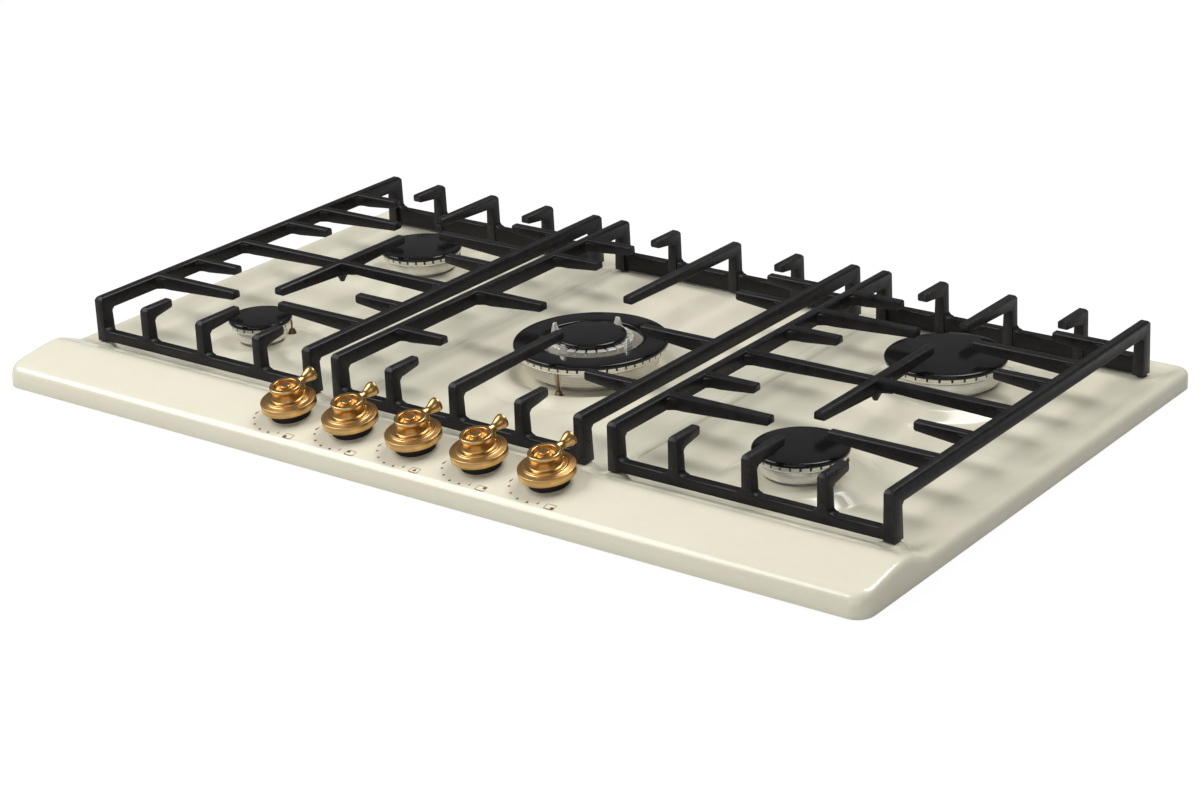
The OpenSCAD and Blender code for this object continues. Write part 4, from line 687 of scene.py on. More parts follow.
@dataclass
class PressedTop:
    """The enamelled sheet: rolled rim, sloping panel, bosses under the burners and two long beads."""

    width: float = 860.0
    depth: float = 510.0
    corner_r: float = 14.0
    sheet: float = 1.0
    rim_h: float = 15.0
    floor_h: float = 11.0
    lip_h: float = 18.5
    slope: float = 9.0
    peak_in: float = 53.0
    heel_in: float = 104.0
    front_roll: float = 9.0
    side_roll: float = 5.0
    roll_blend: float = 24.0
    side_cove: float = 26.0
    back_cove: float = 17.0
    boss_h: float = 8.5
    boss_flank: float = 18.0
    boss_land: float = 14.0
    bead_x: float = 139.5
    bead_foot: float = 8.0
    bead_flat: float = 5.0
    bead_h: float = 1.6
    bead_front: float = -135.0
    bead_back: float = 222.0
    bead_end: float = 9.0
    cell: float = 8.0
    roll_steps: int = 6
    wok_dish_z: float = 8.0
    wok_floor_r: float = 61.0
    wok_ring_r: float = 71.0
    wok_ring_z: float = 14.2
    wok_foot_r: float = 92.0
    pad_r: float = 5.5
    pad_foot_r: float = 14.0
    pad_z: float = 17.6
    pad_y: float = -165.0
    pad_xs: tuple[float, ...] = (-398.0, -155.4, -123.6, 123.6, 155.4, 398.0)
    panel_blend: float = 3.2
    rim_blend: float = 1.5
    seat_blend: float = 2.2
    boss_blend: float = 1.6
    boss_sink: float = 2.0
    sink_blend: float = 0.5
    ring_blend: float = 2.0
    foot_blend: float = 1.2
    hole_margin: float = 5.0
    wok_margin: float = 6.0
    boss_margin: float = 7.0
    busy_margin: float = 8.0
    pad_margin: float = 4.0
    wok_hole_r: float = 44.6
    hole_in: float = 2.9
    hole_reach: float = 6.0
    side_steps: int = 11
    back_steps: int = 8
    rise_steps: int = 7
    rise_cell: float = 5.5
    peak_lines: tuple[float, ...] = (-3.0, -1.0, 1.0, 3.0)
    fall_steps: int = 16
    bead_steps: int = 4
    bead_line: float = 2.0
    spare_share: float = 0.4
    cove_share: float = 0.35
    fade_share: float = 0.6

    def panel_z(self, y: float) -> float:
        """Height of the control panel and of its back slope at a distance from the centre line."""
        inset = y + self.depth / 2
        rise = math.tan(math.radians(self.slope))
        peak = self.lip_h + (self.peak_in - self.front_roll) * rise
        front = self.lip_h + (inset - self.front_roll) * rise
        fall = ease((inset - self.peak_in) / (self.heel_in - self.peak_in))
        back = self.floor_h + (peak - self.floor_h) * (1 - fall)
        return soft_min(front, back, self.panel_blend)

    def rim_z(self, x: float, y: float) -> float:
        """Height of the raised rim and its cove."""
        side = 1 - ease((self.width / 2 - abs(x) - self.side_roll) / (self.side_cove - self.side_roll))
        back = 1 - ease((self.depth / 2 - y - self.side_roll) / (self.back_cove - self.side_roll))
        return self.floor_h + (self.rim_h - self.floor_h) * max(side, back)

    def boss_z(self, r: float, burner: Burner) -> float:
        """Height of a boss at a distance from its burner's axis."""
        land = burner.body_r + self.boss_land
        seat = self.floor_h + self.boss_h
        flank = seat - self.boss_h * (r - land) / self.boss_flank
        top = soft_min(seat, flank, self.seat_blend)
        return soft_max(top, self.floor_h - self.boss_sink, self.sink_blend)

    def wok_z(self, r: float) -> float:
        """Height of the dish and the raised ring round the middle burner."""
        up = self.wok_dish_z + (r - self.wok_floor_r) * (self.wok_ring_z - self.wok_dish_z) / (
            self.wok_ring_r - self.wok_floor_r)
        down = self.wok_ring_z - (r - self.wok_ring_r) * (self.wok_ring_z - self.floor_h) / (
            self.wok_foot_r - self.wok_ring_r)
        ridge = soft_min(up, down, self.ring_blend)
        base = self.wok_dish_z if r < self.wok_ring_r else self.floor_h
        return soft_max(ridge, base, self.foot_blend)

    def bead_z(self, x: float, y: float) -> float:
        """Height of the two long beads above the basin floor."""
        across = abs(abs(x) - self.bead_x)
        share = (self.bead_foot - across) / (self.bead_foot - self.bead_flat)
        end = min(y - self.bead_front, self.bead_back - y) / self.bead_end
        return self.bead_h * ease(share) * ease(end)

    def height(self, x: float, y: float) -> float:
        """Height of the upper skin at any place inside the rolled edge."""
        z = soft_max(self.panel_z(y), self.rim_z(x, y), self.rim_blend)
        wok_r = math.hypot(x - WOK.x, y - WOK.y)
        if wok_r < self.wok_foot_r + self.wok_margin:
            return self.wok_z(wok_r)
        for burner in PLAIN_BURNERS:
            r = math.hypot(x - burner.x, y - burner.y)
            if r < burner.body_r + self.boss_land + self.boss_flank + self.busy_margin:
                z = soft_max(z, self.boss_z(r, burner), self.boss_blend)
        z += self.bead_z(x, y)
        pad = self.pad_distance(x, y)
        return z + (self.pad_z - z) * (1 - ease((pad - self.pad_r) / (self.pad_foot_r - self.pad_r)))

    def pad_distance(self, x: float, y: float) -> float:
        """Distance from the middle of the nearest foot pad."""
        return min(math.hypot(x - pad_x, y - self.pad_y) for pad_x in self.pad_xs)

    def lines(self, roll: float, cove: Sequence[float]) -> list[float]:
        """Insets of the grid lines next to an edge: skirt, roll and then the given cove lines."""
        turns = [math.radians(90 * k / self.roll_steps) for k in range(self.roll_steps + 1)]
        return [0.0] + [roll * (1 - math.cos(t)) for t in turns] + list(cove)

    @staticmethod
    def spread(start: float, end: float, steps: int) -> list[float]:
        """Places at even steps from a start, without it, to an end."""
        return [start + (end - start) * k / steps for k in range(1, steps + 1)]

    def skin(self) -> bmesh.types.BMesh:
        """The upper skin as a grid whose outer lines follow the rounded rim.

        Returns:
            The skin, open at its lower edge and at the burner holes.
        """
        side = self.lines(self.side_roll, self.spread(self.side_roll, self.side_cove, self.side_steps))
        back = self.lines(self.side_roll, self.spread(self.side_roll, self.back_cove, self.back_steps))
        rise = [self.front_roll + self.rise_cell * k for k in range(1, self.rise_steps + 1)]
        peak = [self.peak_in + p for p in self.peak_lines]
        front = self.lines(self.front_roll,
                           rise + peak + self.spread(peak[-1], self.heel_in, self.fall_steps))
        xs = self._axis_lines(side, side, self.width, self._bead_lines())
        ys = self._axis_lines(front, back, self.depth, [])
        columns, rows = len(xs), len(ys)
        bm = bmesh.new()
        edge = bm.verts.layers.int.new("edge")
        made = bmesh.ops.create_grid(bm, x_segments=columns - 1, y_segments=rows - 1, size=1.0)
        rings = self.roll_steps + 2
        for v in made["verts"]:
            i = round((v.co.x + 1) / 2 * (columns - 1))
            j = round((v.co.y + 1) / 2 * (rows - 1))
            v[edge] = max(rings - min(i, columns - 1 - i, j, rows - 1 - j), 0)
            v.co.x, v.co.y = self._corner(xs, ys, i, j)
        self._refine(bm, edge)
        for v in bm.verts:
            v.co.z = self._edge_z(v.co, rings - v[edge]) if v[edge] else self.height(v.co.x, v.co.y)
        self._open_holes(bm)
        return bm

    def _axis_lines(self, low: Sequence[float], high: Sequence[float], span: float,
                    extra: Sequence[float]) -> list[float]:
        """Places of the grid lines along one axis.

        Args:
            low: Insets from the low edge.
            high: Insets from the high edge.
            span: Length of the axis.
            extra: Further places that need a line.

        Returns:
            The places in rising order.
        """
        start, end = -span / 2 + low[-1], span / 2 - high[-1]
        count = round((end - start) / self.cell)
        inner = [start + (end - start) * k / count for k in range(1, count)]
        kept = [p for p in inner if all(abs(p - e) > self.cell * self.spare_share for e in extra)]
        return ([-span / 2 + s for s in low] + sorted(kept + list(extra))
                + [span / 2 - s for s in reversed(high)])

    def _bead_lines(self) -> list[float]:
        """Grid lines across the two beads."""
        flank = [self.bead_foot, *self.spread(self.bead_foot, self.bead_flat, self.bead_steps)]
        offsets = sorted({s * a for a in (*flank, self.bead_line, 0.0) for s in (-1, 1)})
        return [side * self.bead_x + o for side in (-1, 1) for o in offsets]

    def _corner(self, xs: Sequence[float], ys: Sequence[float], i: int, j: int) -> Point:
        """Place of a grid vertex, with the rings rounded at the corners.

        Args:
            xs: Places of the columns.
            ys: Places of the rows.
            i: Column.
            j: Row.

        Returns:
            Its x and y.
        """
        x, y = xs[i], ys[j]
        flip_x, flip_y = x > 0, y > 0
        a = len(xs) - 1 - i if flip_x else i
        b = len(ys) - 1 - j if flip_y else j
        k = min(a, b)
        ring_x = xs[len(xs) - 1 - k] if flip_x else xs[k]
        ring_y = ys[len(ys) - 1 - k] if flip_y else ys[k]
        inset = self.width / 2 - abs(ring_x)
        r = self._ring_radius(inset)
        if r <= 0:
            return x, y
        centre_x = abs(ring_x) - r
        centre_y = abs(ring_y) - r
        along_x = abs(x) - centre_x
        along_y = abs(y) - centre_y
        if along_x <= 0 or along_y <= 0:
            return x, y
        travel = along_x if b <= a else 2 * r - along_y
        turn = math.radians(90 * travel / (2 * r))
        px = centre_x + r * math.sin(turn)
        py = centre_y + r * math.cos(turn)
        return (px if flip_x else -px), (py if flip_y else -py)

    def _ring_radius(self, inset: float) -> float:
        """Corner radius of a ring: it shrinks over the roll, grows over the cove and fades inside."""
        if inset <= self.side_roll:
            return self.corner_r - inset
        edge = self.corner_r - self.side_roll
        if inset <= self.side_cove:
            return edge + (inset - self.side_roll) * self.cove_share
        full = edge + (self.side_cove - self.side_roll) * self.cove_share
        return full - (inset - self.side_cove) * self.fade_share

    def _edge_z(self, co: Vector, depth: int) -> float:
        """Height of a vertex of the rolled edge."""
        if depth == 0:
            return 0.0
        radius = self.side_roll + (self.front_roll - self.side_roll) * (
            1 - ease((co.y + self.depth / 2) / self.roll_blend))
        turn = math.radians(90 * (depth - 1) / self.roll_steps)
        top = soft_max(self.panel_z(co.y), self.rim_z(co.x, co.y), self.rim_blend)
        return top - radius * (1 - math.sin(turn))

    def _refine(self, bm: bmesh.types.BMesh, edge: bmesh.types.BMLayerItem) -> None:
        """Divides the grid on the bosses, inside the rolled edge that the layer counts."""
        for _ in range(2):
            chosen = [e for e in bm.edges
                      if not e.verts[0][edge] and not e.verts[1][edge]
                      and self._busy((e.verts[0].co + e.verts[1].co) / 2)]
            bmesh.ops.subdivide_edges(bm, edges=chosen, cuts=1, use_grid_fill=True)

    def _busy(self, co: Vector) -> bool:
        """Whether a place lies on a boss, where the skin curves."""
        wok_r = math.hypot(co.x - WOK.x, co.y - WOK.y)
        if self.hole_r(WOK) - self.hole_margin < wok_r < self.wok_foot_r + self.busy_margin:
            return True
        if self.pad_distance(co.x, co.y) < self.pad_foot_r + self.pad_margin:
            return True
        for burner in PLAIN_BURNERS:
            r = math.hypot(co.x - burner.x, co.y - burner.y)
            reach = burner.body_r + self.boss_land + self.boss_flank + self.boss_margin
            if self.hole_r(burner) - self.hole_margin < r < reach:
                return True
        return False

    def hole_r(self, burner: Burner) -> float:
        """Radius of the hole under a burner."""
        return self.wok_hole_r if burner is WOK else burner.body_r - self.hole_in

    def _open_holes(self, bm: bmesh.types.BMesh) -> None:
        """Opens the burner holes and draws their edges to true circles."""
        for burner in (*PLAIN_BURNERS, WOK):
            centre = Vector((burner.x, burner.y))
            hole = self.hole_r(burner)
            inside = [f for f in bm.faces if (f.calc_center_median().xy - centre).length < hole]
            bmesh.ops.delete(bm, geom=inside, context="FACES")
            for v in bm.verts:
                if v.is_boundary and (v.co.xy - centre).length < hole + self.hole_reach:
                    v.co.xy = centre + (v.co.xy - centre).normalized() * hole

    def build(self, shop: Workshop) -> None:
        """Makes the pressed top as one piece with thickness."""
        skin = self.skin()
        bmesh.ops.recalc_face_normals(skin, faces=skin.faces)
        if sum(f.normal.z for f in skin.faces) < 0:
            bmesh.ops.reverse_faces(skin, faces=skin.faces)
        bmesh.ops.solidify(skin, geom=list(skin.faces), thickness=self.sheet)
        shape = Shape()
        shape.bm.free()
        shape.bm = skin
        shape.close("enamel_top", Finish.CREAM_ENAMEL, "hob", shop, "top_tray")


@dataclass
class PanSupports:
    """The three cast pan supports, their edges and inner corners rounded as in a casting."""

    weld: float = 0.001
    flat: float = 1.0
    least_turn: float = 20.0
    edge: float = 0.5
    steps: int = 2
    stud_clear: float = 16.0
    stud_top: float = 52.0
    nodes: tuple[str, ...] = ("left", "centre", "right")

    def build(self, shop: Workshop) -> None:
        """Casts each support from its solid."""
        for side in self.nodes:
            mesh = self._cast(f"{side}_grate")
            finish_piece(mesh, f"{side}_pan_support", Finish.CAST_IRON, f"{side}_support", shop,
                         f"{side}_grate")

    def _cast(self, node: str) -> bpy.types.Mesh:
        """Joins a support's flat faces and rounds the edges between them.

        Args:
            node: Name of the node.

        Returns:
            The rounded mesh, in metres.
        """
        bm = bmesh.new()
        bm.from_mesh(frame["nodes"][node].data)
        bmesh.ops.remove_doubles(bm, verts=bm.verts, dist=self.weld * MM)
        bmesh.ops.dissolve_limit(bm, angle_limit=math.radians(self.flat), use_dissolve_boundaries=False,
                                 verts=bm.verts, edges=bm.edges, delimit={"NORMAL"})
        sharp = [e for e in bm.edges
                 if len(e.link_faces) == 2 and e.calc_face_angle(0.0) > math.radians(self.least_turn)
                 and not self._at_stud((e.verts[0].co + e.verts[1].co) / 2 / MM)]
        bmesh.ops.bevel(bm, geom=sharp, offset=self.edge * MM, offset_type="OFFSET", segments=self.steps,
                        profile=0.5, affect="EDGES", clamp_overlap=False, loop_slide=True, material=-1)
        bmesh.ops.recalc_face_normals(bm, faces=bm.faces)
        mesh = bpy.data.meshes.new(node + "_casting")
        bm.to_mesh(mesh)
        bm.free()
        return mesh

    def _at_stud(self, spot: Vector) -> bool:
        """Whether a place is at the root of a stud under a cross-bar, which stays sharp."""
        across = math.hypot(abs(spot.x) - SIDE_X, spot.y - WOK_Y)
        return across < self.stud_clear and spot.z < self.stud_top


@dataclass
class PlainBurner:
    """Crown and cap of one of the four plain burners."""

    burner: Burner
    low: float = 22.5
    skirt_h: float = 10.5
    band_h: float = 4.0
    wall: float = 3.0
    slot_w: float = 1.6
    slot_h: float = 3.0
    foot_round: float = 0.8
    shoulder_round: float = 0.5
    shoulder_fall: float = 2.8
    neck_in: float = 0.9
    neck_falls: Point = (2.2, 1.4)
    band_round: float = 1.2
    band_rise: float = 0.4

    @property
    def high(self) -> float:
        """Height of the top of the slotted band."""
        return self.low + self.skirt_h + self.band_h + self.burner.extra

    def crown(self, shop: Workshop) -> None:
        """The crown: skirt, groove, slotted band and mixing tube."""
        b = self.burner
        shape = Shape()
        base = self.high - self.slot_h
        inner = b.body_r - self.wall
        floor = self.low + self.wall
        skirt = self.high - self.band_h
        shoulder_z = skirt - self.shoulder_fall
        foot, shoulder, band = self.foot_round, self.shoulder_round, self.band_round
        shape.turned([
            (TUBE_IN, self.low - TUBE_DEPTH), (TUBE_OUT, self.low - TUBE_DEPTH), (TUBE_OUT, self.low),
            (b.body_r - foot, self.low), *arc((b.body_r - foot, self.low + foot), foot, -90, 0, 3),
            (b.body_r, shoulder_z), *arc((b.body_r - shoulder, shoulder_z), shoulder, 0, 90, 2),
            *[(b.body_r - self.neck_in, skirt - fall) for fall in self.neck_falls],
            *arc((b.band_r - band, skirt + self.band_rise), band, -60, 0, 3),
            (b.band_r, base), (inner, base), (inner, floor), (TUBE_IN, floor)])
        add_teeth(shape, b.slots, inner, b.band_r, base - TOOTH_SINK, self.high, self.slot_w)
        shape.placed(b.axis)
        shape.close(f"{b.name}_flame_crown", Finish.BURNER_ALLOY, "hob", shop, f"{b.name}_crown",
                    axis=b.axis)

    def cap(self, shop: Workshop) -> None:
        """The enamelled cap with its rolled edge and locating ring."""
        b = self.burner
        shape = Shape()
        ring = b.body_r - self.wall - self.slot_w
        shape.turned(cap_outline(b.cap_r, self.high, ring), steps=128)
        shape.placed(b.axis)
        shape.close(f"{b.name}_burner_cap", Finish.BLACK_ENAMEL, "hob", shop, f"{b.name}_cap")

    def build(self, shop: Workshop) -> None:
        """Makes both pieces."""
        self.crown(shop)
        self.cap(shop)


def rim_outline(radius: float, low: float, ring: float) -> list[Point]:
    """Outline of a cap from its locating ring round its rolled edge to its flat top.

    Args:
        radius: Outer radius.
        low: Height of its underside.
        ring: Outer radius of the locating ring below.

    Returns:
        The outline, which its ends leave open.
    """
    top = low + CAP_THICK
    return [(ring - RING_WALL, low), (ring - RING_WALL, low - RING_WALL), (ring, low - RING_WALL),
            (ring, low), (radius - CAP_FOOT, low),
            *arc((radius - CAP_FOOT, low + CAP_FOOT), CAP_FOOT, -90, 0, 3),
            *arc((radius - CAP_ROUND, top - CAP_ROUND - CAP_FALL), CAP_ROUND, 0, 80, 6),
            (radius - CAP_ROUND - CAP_FLAT_IN, top)]


def cap_outline(radius: float, low: float, ring: float) -> list[Point]:
    """Outline of a solid cap from the axis round to the axis, sized as in rim_outline."""
    return [(0, low), *rim_outline(radius, low, ring), (0, low + CAP_THICK)]


def add_teeth(shape: Shape, count: int, inner: float, outer: float, low: float, high: float,
              slot: float) -> None:
    """Stands the teeth of a slotted band in a ring.

    Args:
        shape: Shape that takes the teeth.
        count: Number of slots and of teeth.
        inner: Inner radius.
        outer: Outer radius.
        low: Foot of the teeth.
        high: Top of the teeth.
        slot: Width of a slot.
    """
    pitch = 360 / count
    for k in range(count):
        ends = []
        for r in (outer, inner):
            half = pitch / 2 - math.degrees(slot / 2 / r)
            ends.append(arc((0, 0), r, k * pitch - half, k * pitch + half, 3))
        tooth = shape.raised(ends[0] + ends[1][::-1], low, high)
        shape.rounded(tooth, TOOTH_ROUND, segments=1)


@dataclass
class WokBurner:
    """The triple-crown burner: outer crown with a ring cap, inner crown with lugs and its own cap."""

    low: float = 11.0
    foot_r: float = 47.0
    belly_r: float = 56.5
    belly_low: float = 16.0
    skirt_top: float = 30.0
    band_top: float = 34.0
    out_r: float = 50.5
    eye_r: float = 43.5
    wall: float = 3.0
    slot_w: float = 1.6
    slot_h: float = 3.0
    foot_flare: Point = (3.0, 1.5)
    belly_round: float = 1.5
    belly_rise: float = 1.2
    shoulder: Point = (1.2, 4.2)
    shoulder_mid: Point = (0.8, 4.0)
    shoulder_round: float = 0.5
    neck: tuple[Point, ...] = ((0.4, 3.2), (1.2, 2.4))
    band_round: float = 1.2
    band_rise: float = 0.2
    rod_r: float = 57.5
    groove_r: float = 3.4
    groove_sink: float = 2.0
    groove_top_in: float = 1.4
    stem_r: float = 13.0
    ring_in: float = 0.8
    eye_round: float = 1.6
    eye_fall: float = 1.8
    inner_r: float = 36.0
    inner_low: float = 24.0
    inner_top: float = 39.0
    inner_foot_in: float = 9.0
    inner_cone_fall: float = 8.6
    inner_round: float = 0.8
    inner_round_fall: float = 7.6
    inner_slots: int = 24
    inner_cap_r: float = 30.25
    lug_turns: tuple[float, ...] = (0.0, 90.0, 180.0, 270.0)
    lug_foot: Point = (5.4, 10.5)
    lug_tip: Point = (1.6, 4.0)
    lug_low: float = 8.0
    lug_h: float = 6.0
    lug_out: float = 2.0
    lug_round: float = 0.6

    def outer_crown(self, shop: Workshop) -> None:
        """The outer crown, with grooves for the spark plug and the flame sensor."""
        shape = Shape()
        base = self.band_top - self.slot_h
        eye_out = self.eye_r + self.wall
        floor = self.belly_low + self.wall
        belly, skirt, bulge, band = self.belly_r, self.skirt_top, self.belly_round, self.band_round
        middle = (belly + self.shoulder_mid[0], skirt - self.shoulder_mid[1])
        shape.turned([
            (TUBE_IN, self.low - TUBE_DEPTH), (TUBE_OUT, self.low - TUBE_DEPTH), (TUBE_OUT, self.low),
            (self.foot_r, self.low), (self.foot_r + self.foot_flare[0], self.low + self.foot_flare[1]),
            *arc((belly - bulge, self.belly_low + self.belly_rise), bulge, -60, 0, 4),
            (belly + self.shoulder[0], skirt - self.shoulder[1]),
            *arc(middle, self.shoulder_round, 0, 90, 2),
            *[(belly + out, skirt - fall) for out, fall in self.neck],
            *arc((WOK.band_r - band, skirt + self.band_rise), band, -70, 0, 3),
            (WOK.band_r, base), (self.out_r, base), (self.out_r, floor), (eye_out, floor),
            (eye_out, self.band_top), (self.eye_r, self.band_top), (self.eye_r, self.belly_low),
            (self.stem_r, self.belly_low), (self.stem_r, self.inner_low), (TUBE_IN, self.inner_low)],
            steps=128)
        add_teeth(shape, WOK.slots, self.out_r, WOK.band_r, base - TOOTH_SINK, self.band_top, self.slot_w)
        grooves = Shape()
        for turn in (WOK.plug_turn, WOK.sensor_turn):
            foot, end = self.low - self.groove_sink, self.skirt_top - self.groove_top_in
            made = grooves.turned([(0, foot), (self.groove_r, foot), (self.groove_r, end), (0, end)],
                                  steps=24)
            a = math.radians(turn)
            grooves.placed(Place(self.rod_r * math.cos(a), self.rod_r * math.sin(a)), made)
        shape.bm = cut_away(shape.bm, grooves.bm)
        shape.placed(WOK.axis)
        shape.close("wok_flame_crown", Finish.BURNER_ALLOY, "hob", shop, "wok_crown", axis=WOK.axis)

    def ring_cap(self, shop: Workshop) -> None:
        """The ring cap round the inner crown."""
        low, top = self.band_top, self.band_top + CAP_THICK
        shape = Shape()
        shape.turned([
            (self.eye_r, low), *rim_outline(WOK.cap_r, low, self.out_r - self.ring_in),
            (self.eye_r + CAP_FLAT_IN, top),
            *arc((self.eye_r + self.eye_round, top - self.eye_fall), self.eye_round, 100, 180, 5)],
            steps=160)
        shape.placed(WOK.axis)
        shape.close("wok_ring_burner_cap", Finish.BLACK_ENAMEL, "hob", shop, "wok_ring_cap")

    def inner_crown(self, shop: Workshop) -> None:
        """The inner crown with its upright lugs."""
        shape = Shape()
        base = self.inner_top - self.slot_h
        inner = self.inner_r - 2 * self.wall
        floor = self.inner_low + 2 * self.wall
        cone_r = self.inner_r - self.inner_round
        shape.turned([
            (TUBE_IN, self.inner_low), (self.inner_r - self.inner_foot_in, self.inner_low),
            (cone_r, self.inner_top - self.inner_cone_fall),
            *arc((cone_r, self.inner_top - self.inner_round_fall), self.inner_round, -60, 0, 3),
            (self.inner_r, base), (inner, base), (inner, floor), (TUBE_IN, floor)])
        add_teeth(shape, self.inner_slots, inner, self.inner_r, base - TOOTH_SINK, self.inner_top,
                  self.slot_w)
        half_pitch = math.radians(180 / self.inner_slots)
        bmesh.ops.rotate(shape.bm, cent=(0, 0, 0), matrix=Matrix.Rotation(half_pitch, 3, "Z"),
                         verts=shape.bm.verts)
        for turn in self.lug_turns:
            self._lug(shape, turn)
        shape.placed(WOK.axis)
        shape.close("wok_inner_flame_crown", Finish.BURNER_ALLOY, "hob", shop, "wok_inner_crown",
                    axis=WOK.axis)

    def _lug(self, shape: Shape, turn: float) -> None:
        """One wedge-shaped lug on the rim of the inner crown."""
        before = set(shape.bm.verts)
        made = bmesh.ops.create_cube(shape.bm, size=1.0)["verts"]
        for v in made:
            size = self.lug_tip if v.co.z > 0 else self.lug_foot
            v.co.x *= size[0]
            v.co.y *= size[1]
            v.co.z = self.inner_top + (self.lug_h if v.co.z > 0 else -self.lug_low)
        shape.rounded(made, self.lug_round, segments=2, angle=20)
        lug = [v for v in shape.bm.verts if v not in before]
        turned = (Matrix.Rotation(math.radians(turn), 4, "Z")
                  @ Matrix.Translation((self.inner_r + self.lug_out, 0, 0)))
        bmesh.ops.transform(shape.bm, matrix=turned, verts=lug)

    def inner_cap(self, shop: Workshop) -> None:
        """The cap of the inner crown."""
        shape = Shape()
        ring = self.inner_r - 2 * self.wall - self.slot_w
        shape.turned(cap_outline(self.inner_cap_r, self.inner_top, ring), steps=128)
        shape.placed(WOK.axis)
        shape.close("wok_inner_burner_cap", Finish.BLACK_ENAMEL, "hob", shop, "wok_inner_cap")

    def build(self, shop: Workshop) -> None:
        """Makes the four pieces."""
        self.outer_crown(shop)
        self.ring_cap(shop)
        self.inner_crown(shop)
        self.inner_cap(shop)


@dataclass
class Knobs:
    """The five knobs: a stepped disc, a drum with a hollow top, and a lever with a swollen end."""

    names: tuple[str, ...] = ("left_front", "left_rear", "wok", "right_rear", "right_front")
    pitch: float = 65.5
    y: float = -217.0
    slope: float = 9.0
    flange_r: float = 22.6
    flange_low: float = 8.0
    flange_h: float = 6.4
    edge_r: float = 0.6
    well_r: float = 18.4
    well_z: float = 13.2
    well_bevel: float = 0.4
    bore_r: float = 3.0
    bore_top: float = 20.0
    step_r: float = 17.0
    step_h: float = 1.8
    step_cove: tuple[Point, ...] = ((0.9, 0.35), (0.3, 0.6), (0.0, 1.0))
    drum_r: float = 12.1
    drum_fillet: float = 1.2
    step_round: float = 0.6
    lip_round: float = 0.9
    dish_round: float = 0.7
    lip_r: float = 13.0
    lip_h: float = 3.2
    lip_flare: tuple[Point, ...] = ((0.0, -1.2), (0.5, -0.4))
    high: float = 27.0
    dish_r: float = 9.2
    dish_h: float = 3.8
    dish_ins: Point = (0.2, 0.8)
    pip_r: float = 4.4
    pip_in: float = 0.0
    pip_foot: tuple[Point, ...] = ((0.9, 0.0), (0.2, 0.8))
    lever_turn: float = -10.0
    lever_root: float = 11.8
    lever_reach: float = 30.4
    lever_z: float = 22.4
    lever_rise: float = 9.0
    lever_waist: float = 3.3
    lever_bell: float = 5.9
    lever_shares: tuple[float, ...] = (0.0, 0.1, 0.2, 0.3, 0.4, 0.5, 0.6, 0.7, 0.78)
    swell_start_share: float = 0.3
    swell_share: float = 0.5
    root_flare: float = 1.2
    root_share: float = 0.35
    bell_round: float = 0.8
    bell_in: float = 2.6
    lever_end: tuple[Point, ...] = ((1.5, 1.5), (2.0, 1.1), (3.7, 0.4), (4.9, 0.0))
    rib_r: float = 3.4
    rib_out: float = 14.6
    rib_sink: float = 0.6
    rib_flare: tuple[Point, ...] = ((1.6, 0.0), (1.4, 0.9), (0.5, 2.0), (0.0, 3.6))
    rib_head: tuple[Point, ...] = ((0.0, 0.0), (-1.0, 2.0))
    rib_crown: float = 2.8
    seal_r: float = 16.2
    seal_h: float = 9.2
    seal_bore: float = 3.4
    seal_bevel: float = 1.0

    def place(self, number: int, top: PressedTop) -> Place:
        """Place of a knob on the panel."""
        middle = len(self.names) // 2
        return Place((number - middle) * self.pitch, self.y, top.panel_z(self.y), tilt=self.slope)

    def disc_outline(self) -> list[Point]:
        """Outline of the disc and the drum, from the hollow below to the top."""
        low, r = self.flange_low, self.flange_r
        top = low + self.flange_h
        step = top + self.step_h
        lip = self.high - self.lip_h
        dish = self.high - self.dish_h
        pip = self.high - self.pip_in
        fillet, lip_round, edge = self.drum_fillet, self.lip_round, self.dish_round
        return [
            (self.well_r, self.well_z), (self.well_r, low + self.well_bevel),
            (self.well_r + self.well_bevel, low),
            *arc((r - self.edge_r, low + self.edge_r), self.edge_r, -90, 0, 4),
            *arc((r - self.edge_r, top - self.edge_r), self.edge_r, 0, 80, 4),
            *[(self.step_r + out, top + up) for out, up in self.step_cove],
            *arc((self.step_r - self.step_round, step - self.step_round), self.step_round, 0, 90, 3),
            *arc((self.drum_r + fillet, step + fillet), fillet, -90, -180, 3),
            *[(self.drum_r + out, lip + up) for out, up in self.lip_flare],
            *arc((self.lip_r - lip_round, lip + lip_round), lip_round, -45, 0, 3),
            *arc((self.lip_r - lip_round, self.high - lip_round), lip_round, 0, 90, 4),
            *arc((self.dish_r + edge, self.high - edge), edge, 90, 180, 3),
            (self.dish_r - self.dish_ins[0], dish + edge), (self.dish_r - self.dish_ins[1], dish),
            *[(self.pip_r + out, dish + up) for out, up in self.pip_foot],
            *arc((self.pip_r - edge, pip - edge), edge, 0, 90, 3), (0, pip),
            (0, self.bore_top), (self.bore_r, self.bore_top), (self.bore_r, self.well_z)]

    def lever_outline(self) -> list[Point]:
        """Outline of the lever along its own axis."""
        length = self.lever_reach - self.lever_root
        waist, bell = self.lever_waist, self.lever_bell
        swell = [(waist + (bell - waist) * ease((share - self.swell_start_share) / self.swell_share)
                  + self.root_flare * (1 - ease(share / self.root_share)), length * share)
                 for share in self.lever_shares]
        rim = arc((bell - self.bell_round, length - self.bell_in), self.bell_round, 0, 75, 3)
        end = [(bell - inset, length - back) for inset, back in self.lever_end]
        return [(0, 0), *swell, *rim, *end, (0, length)]

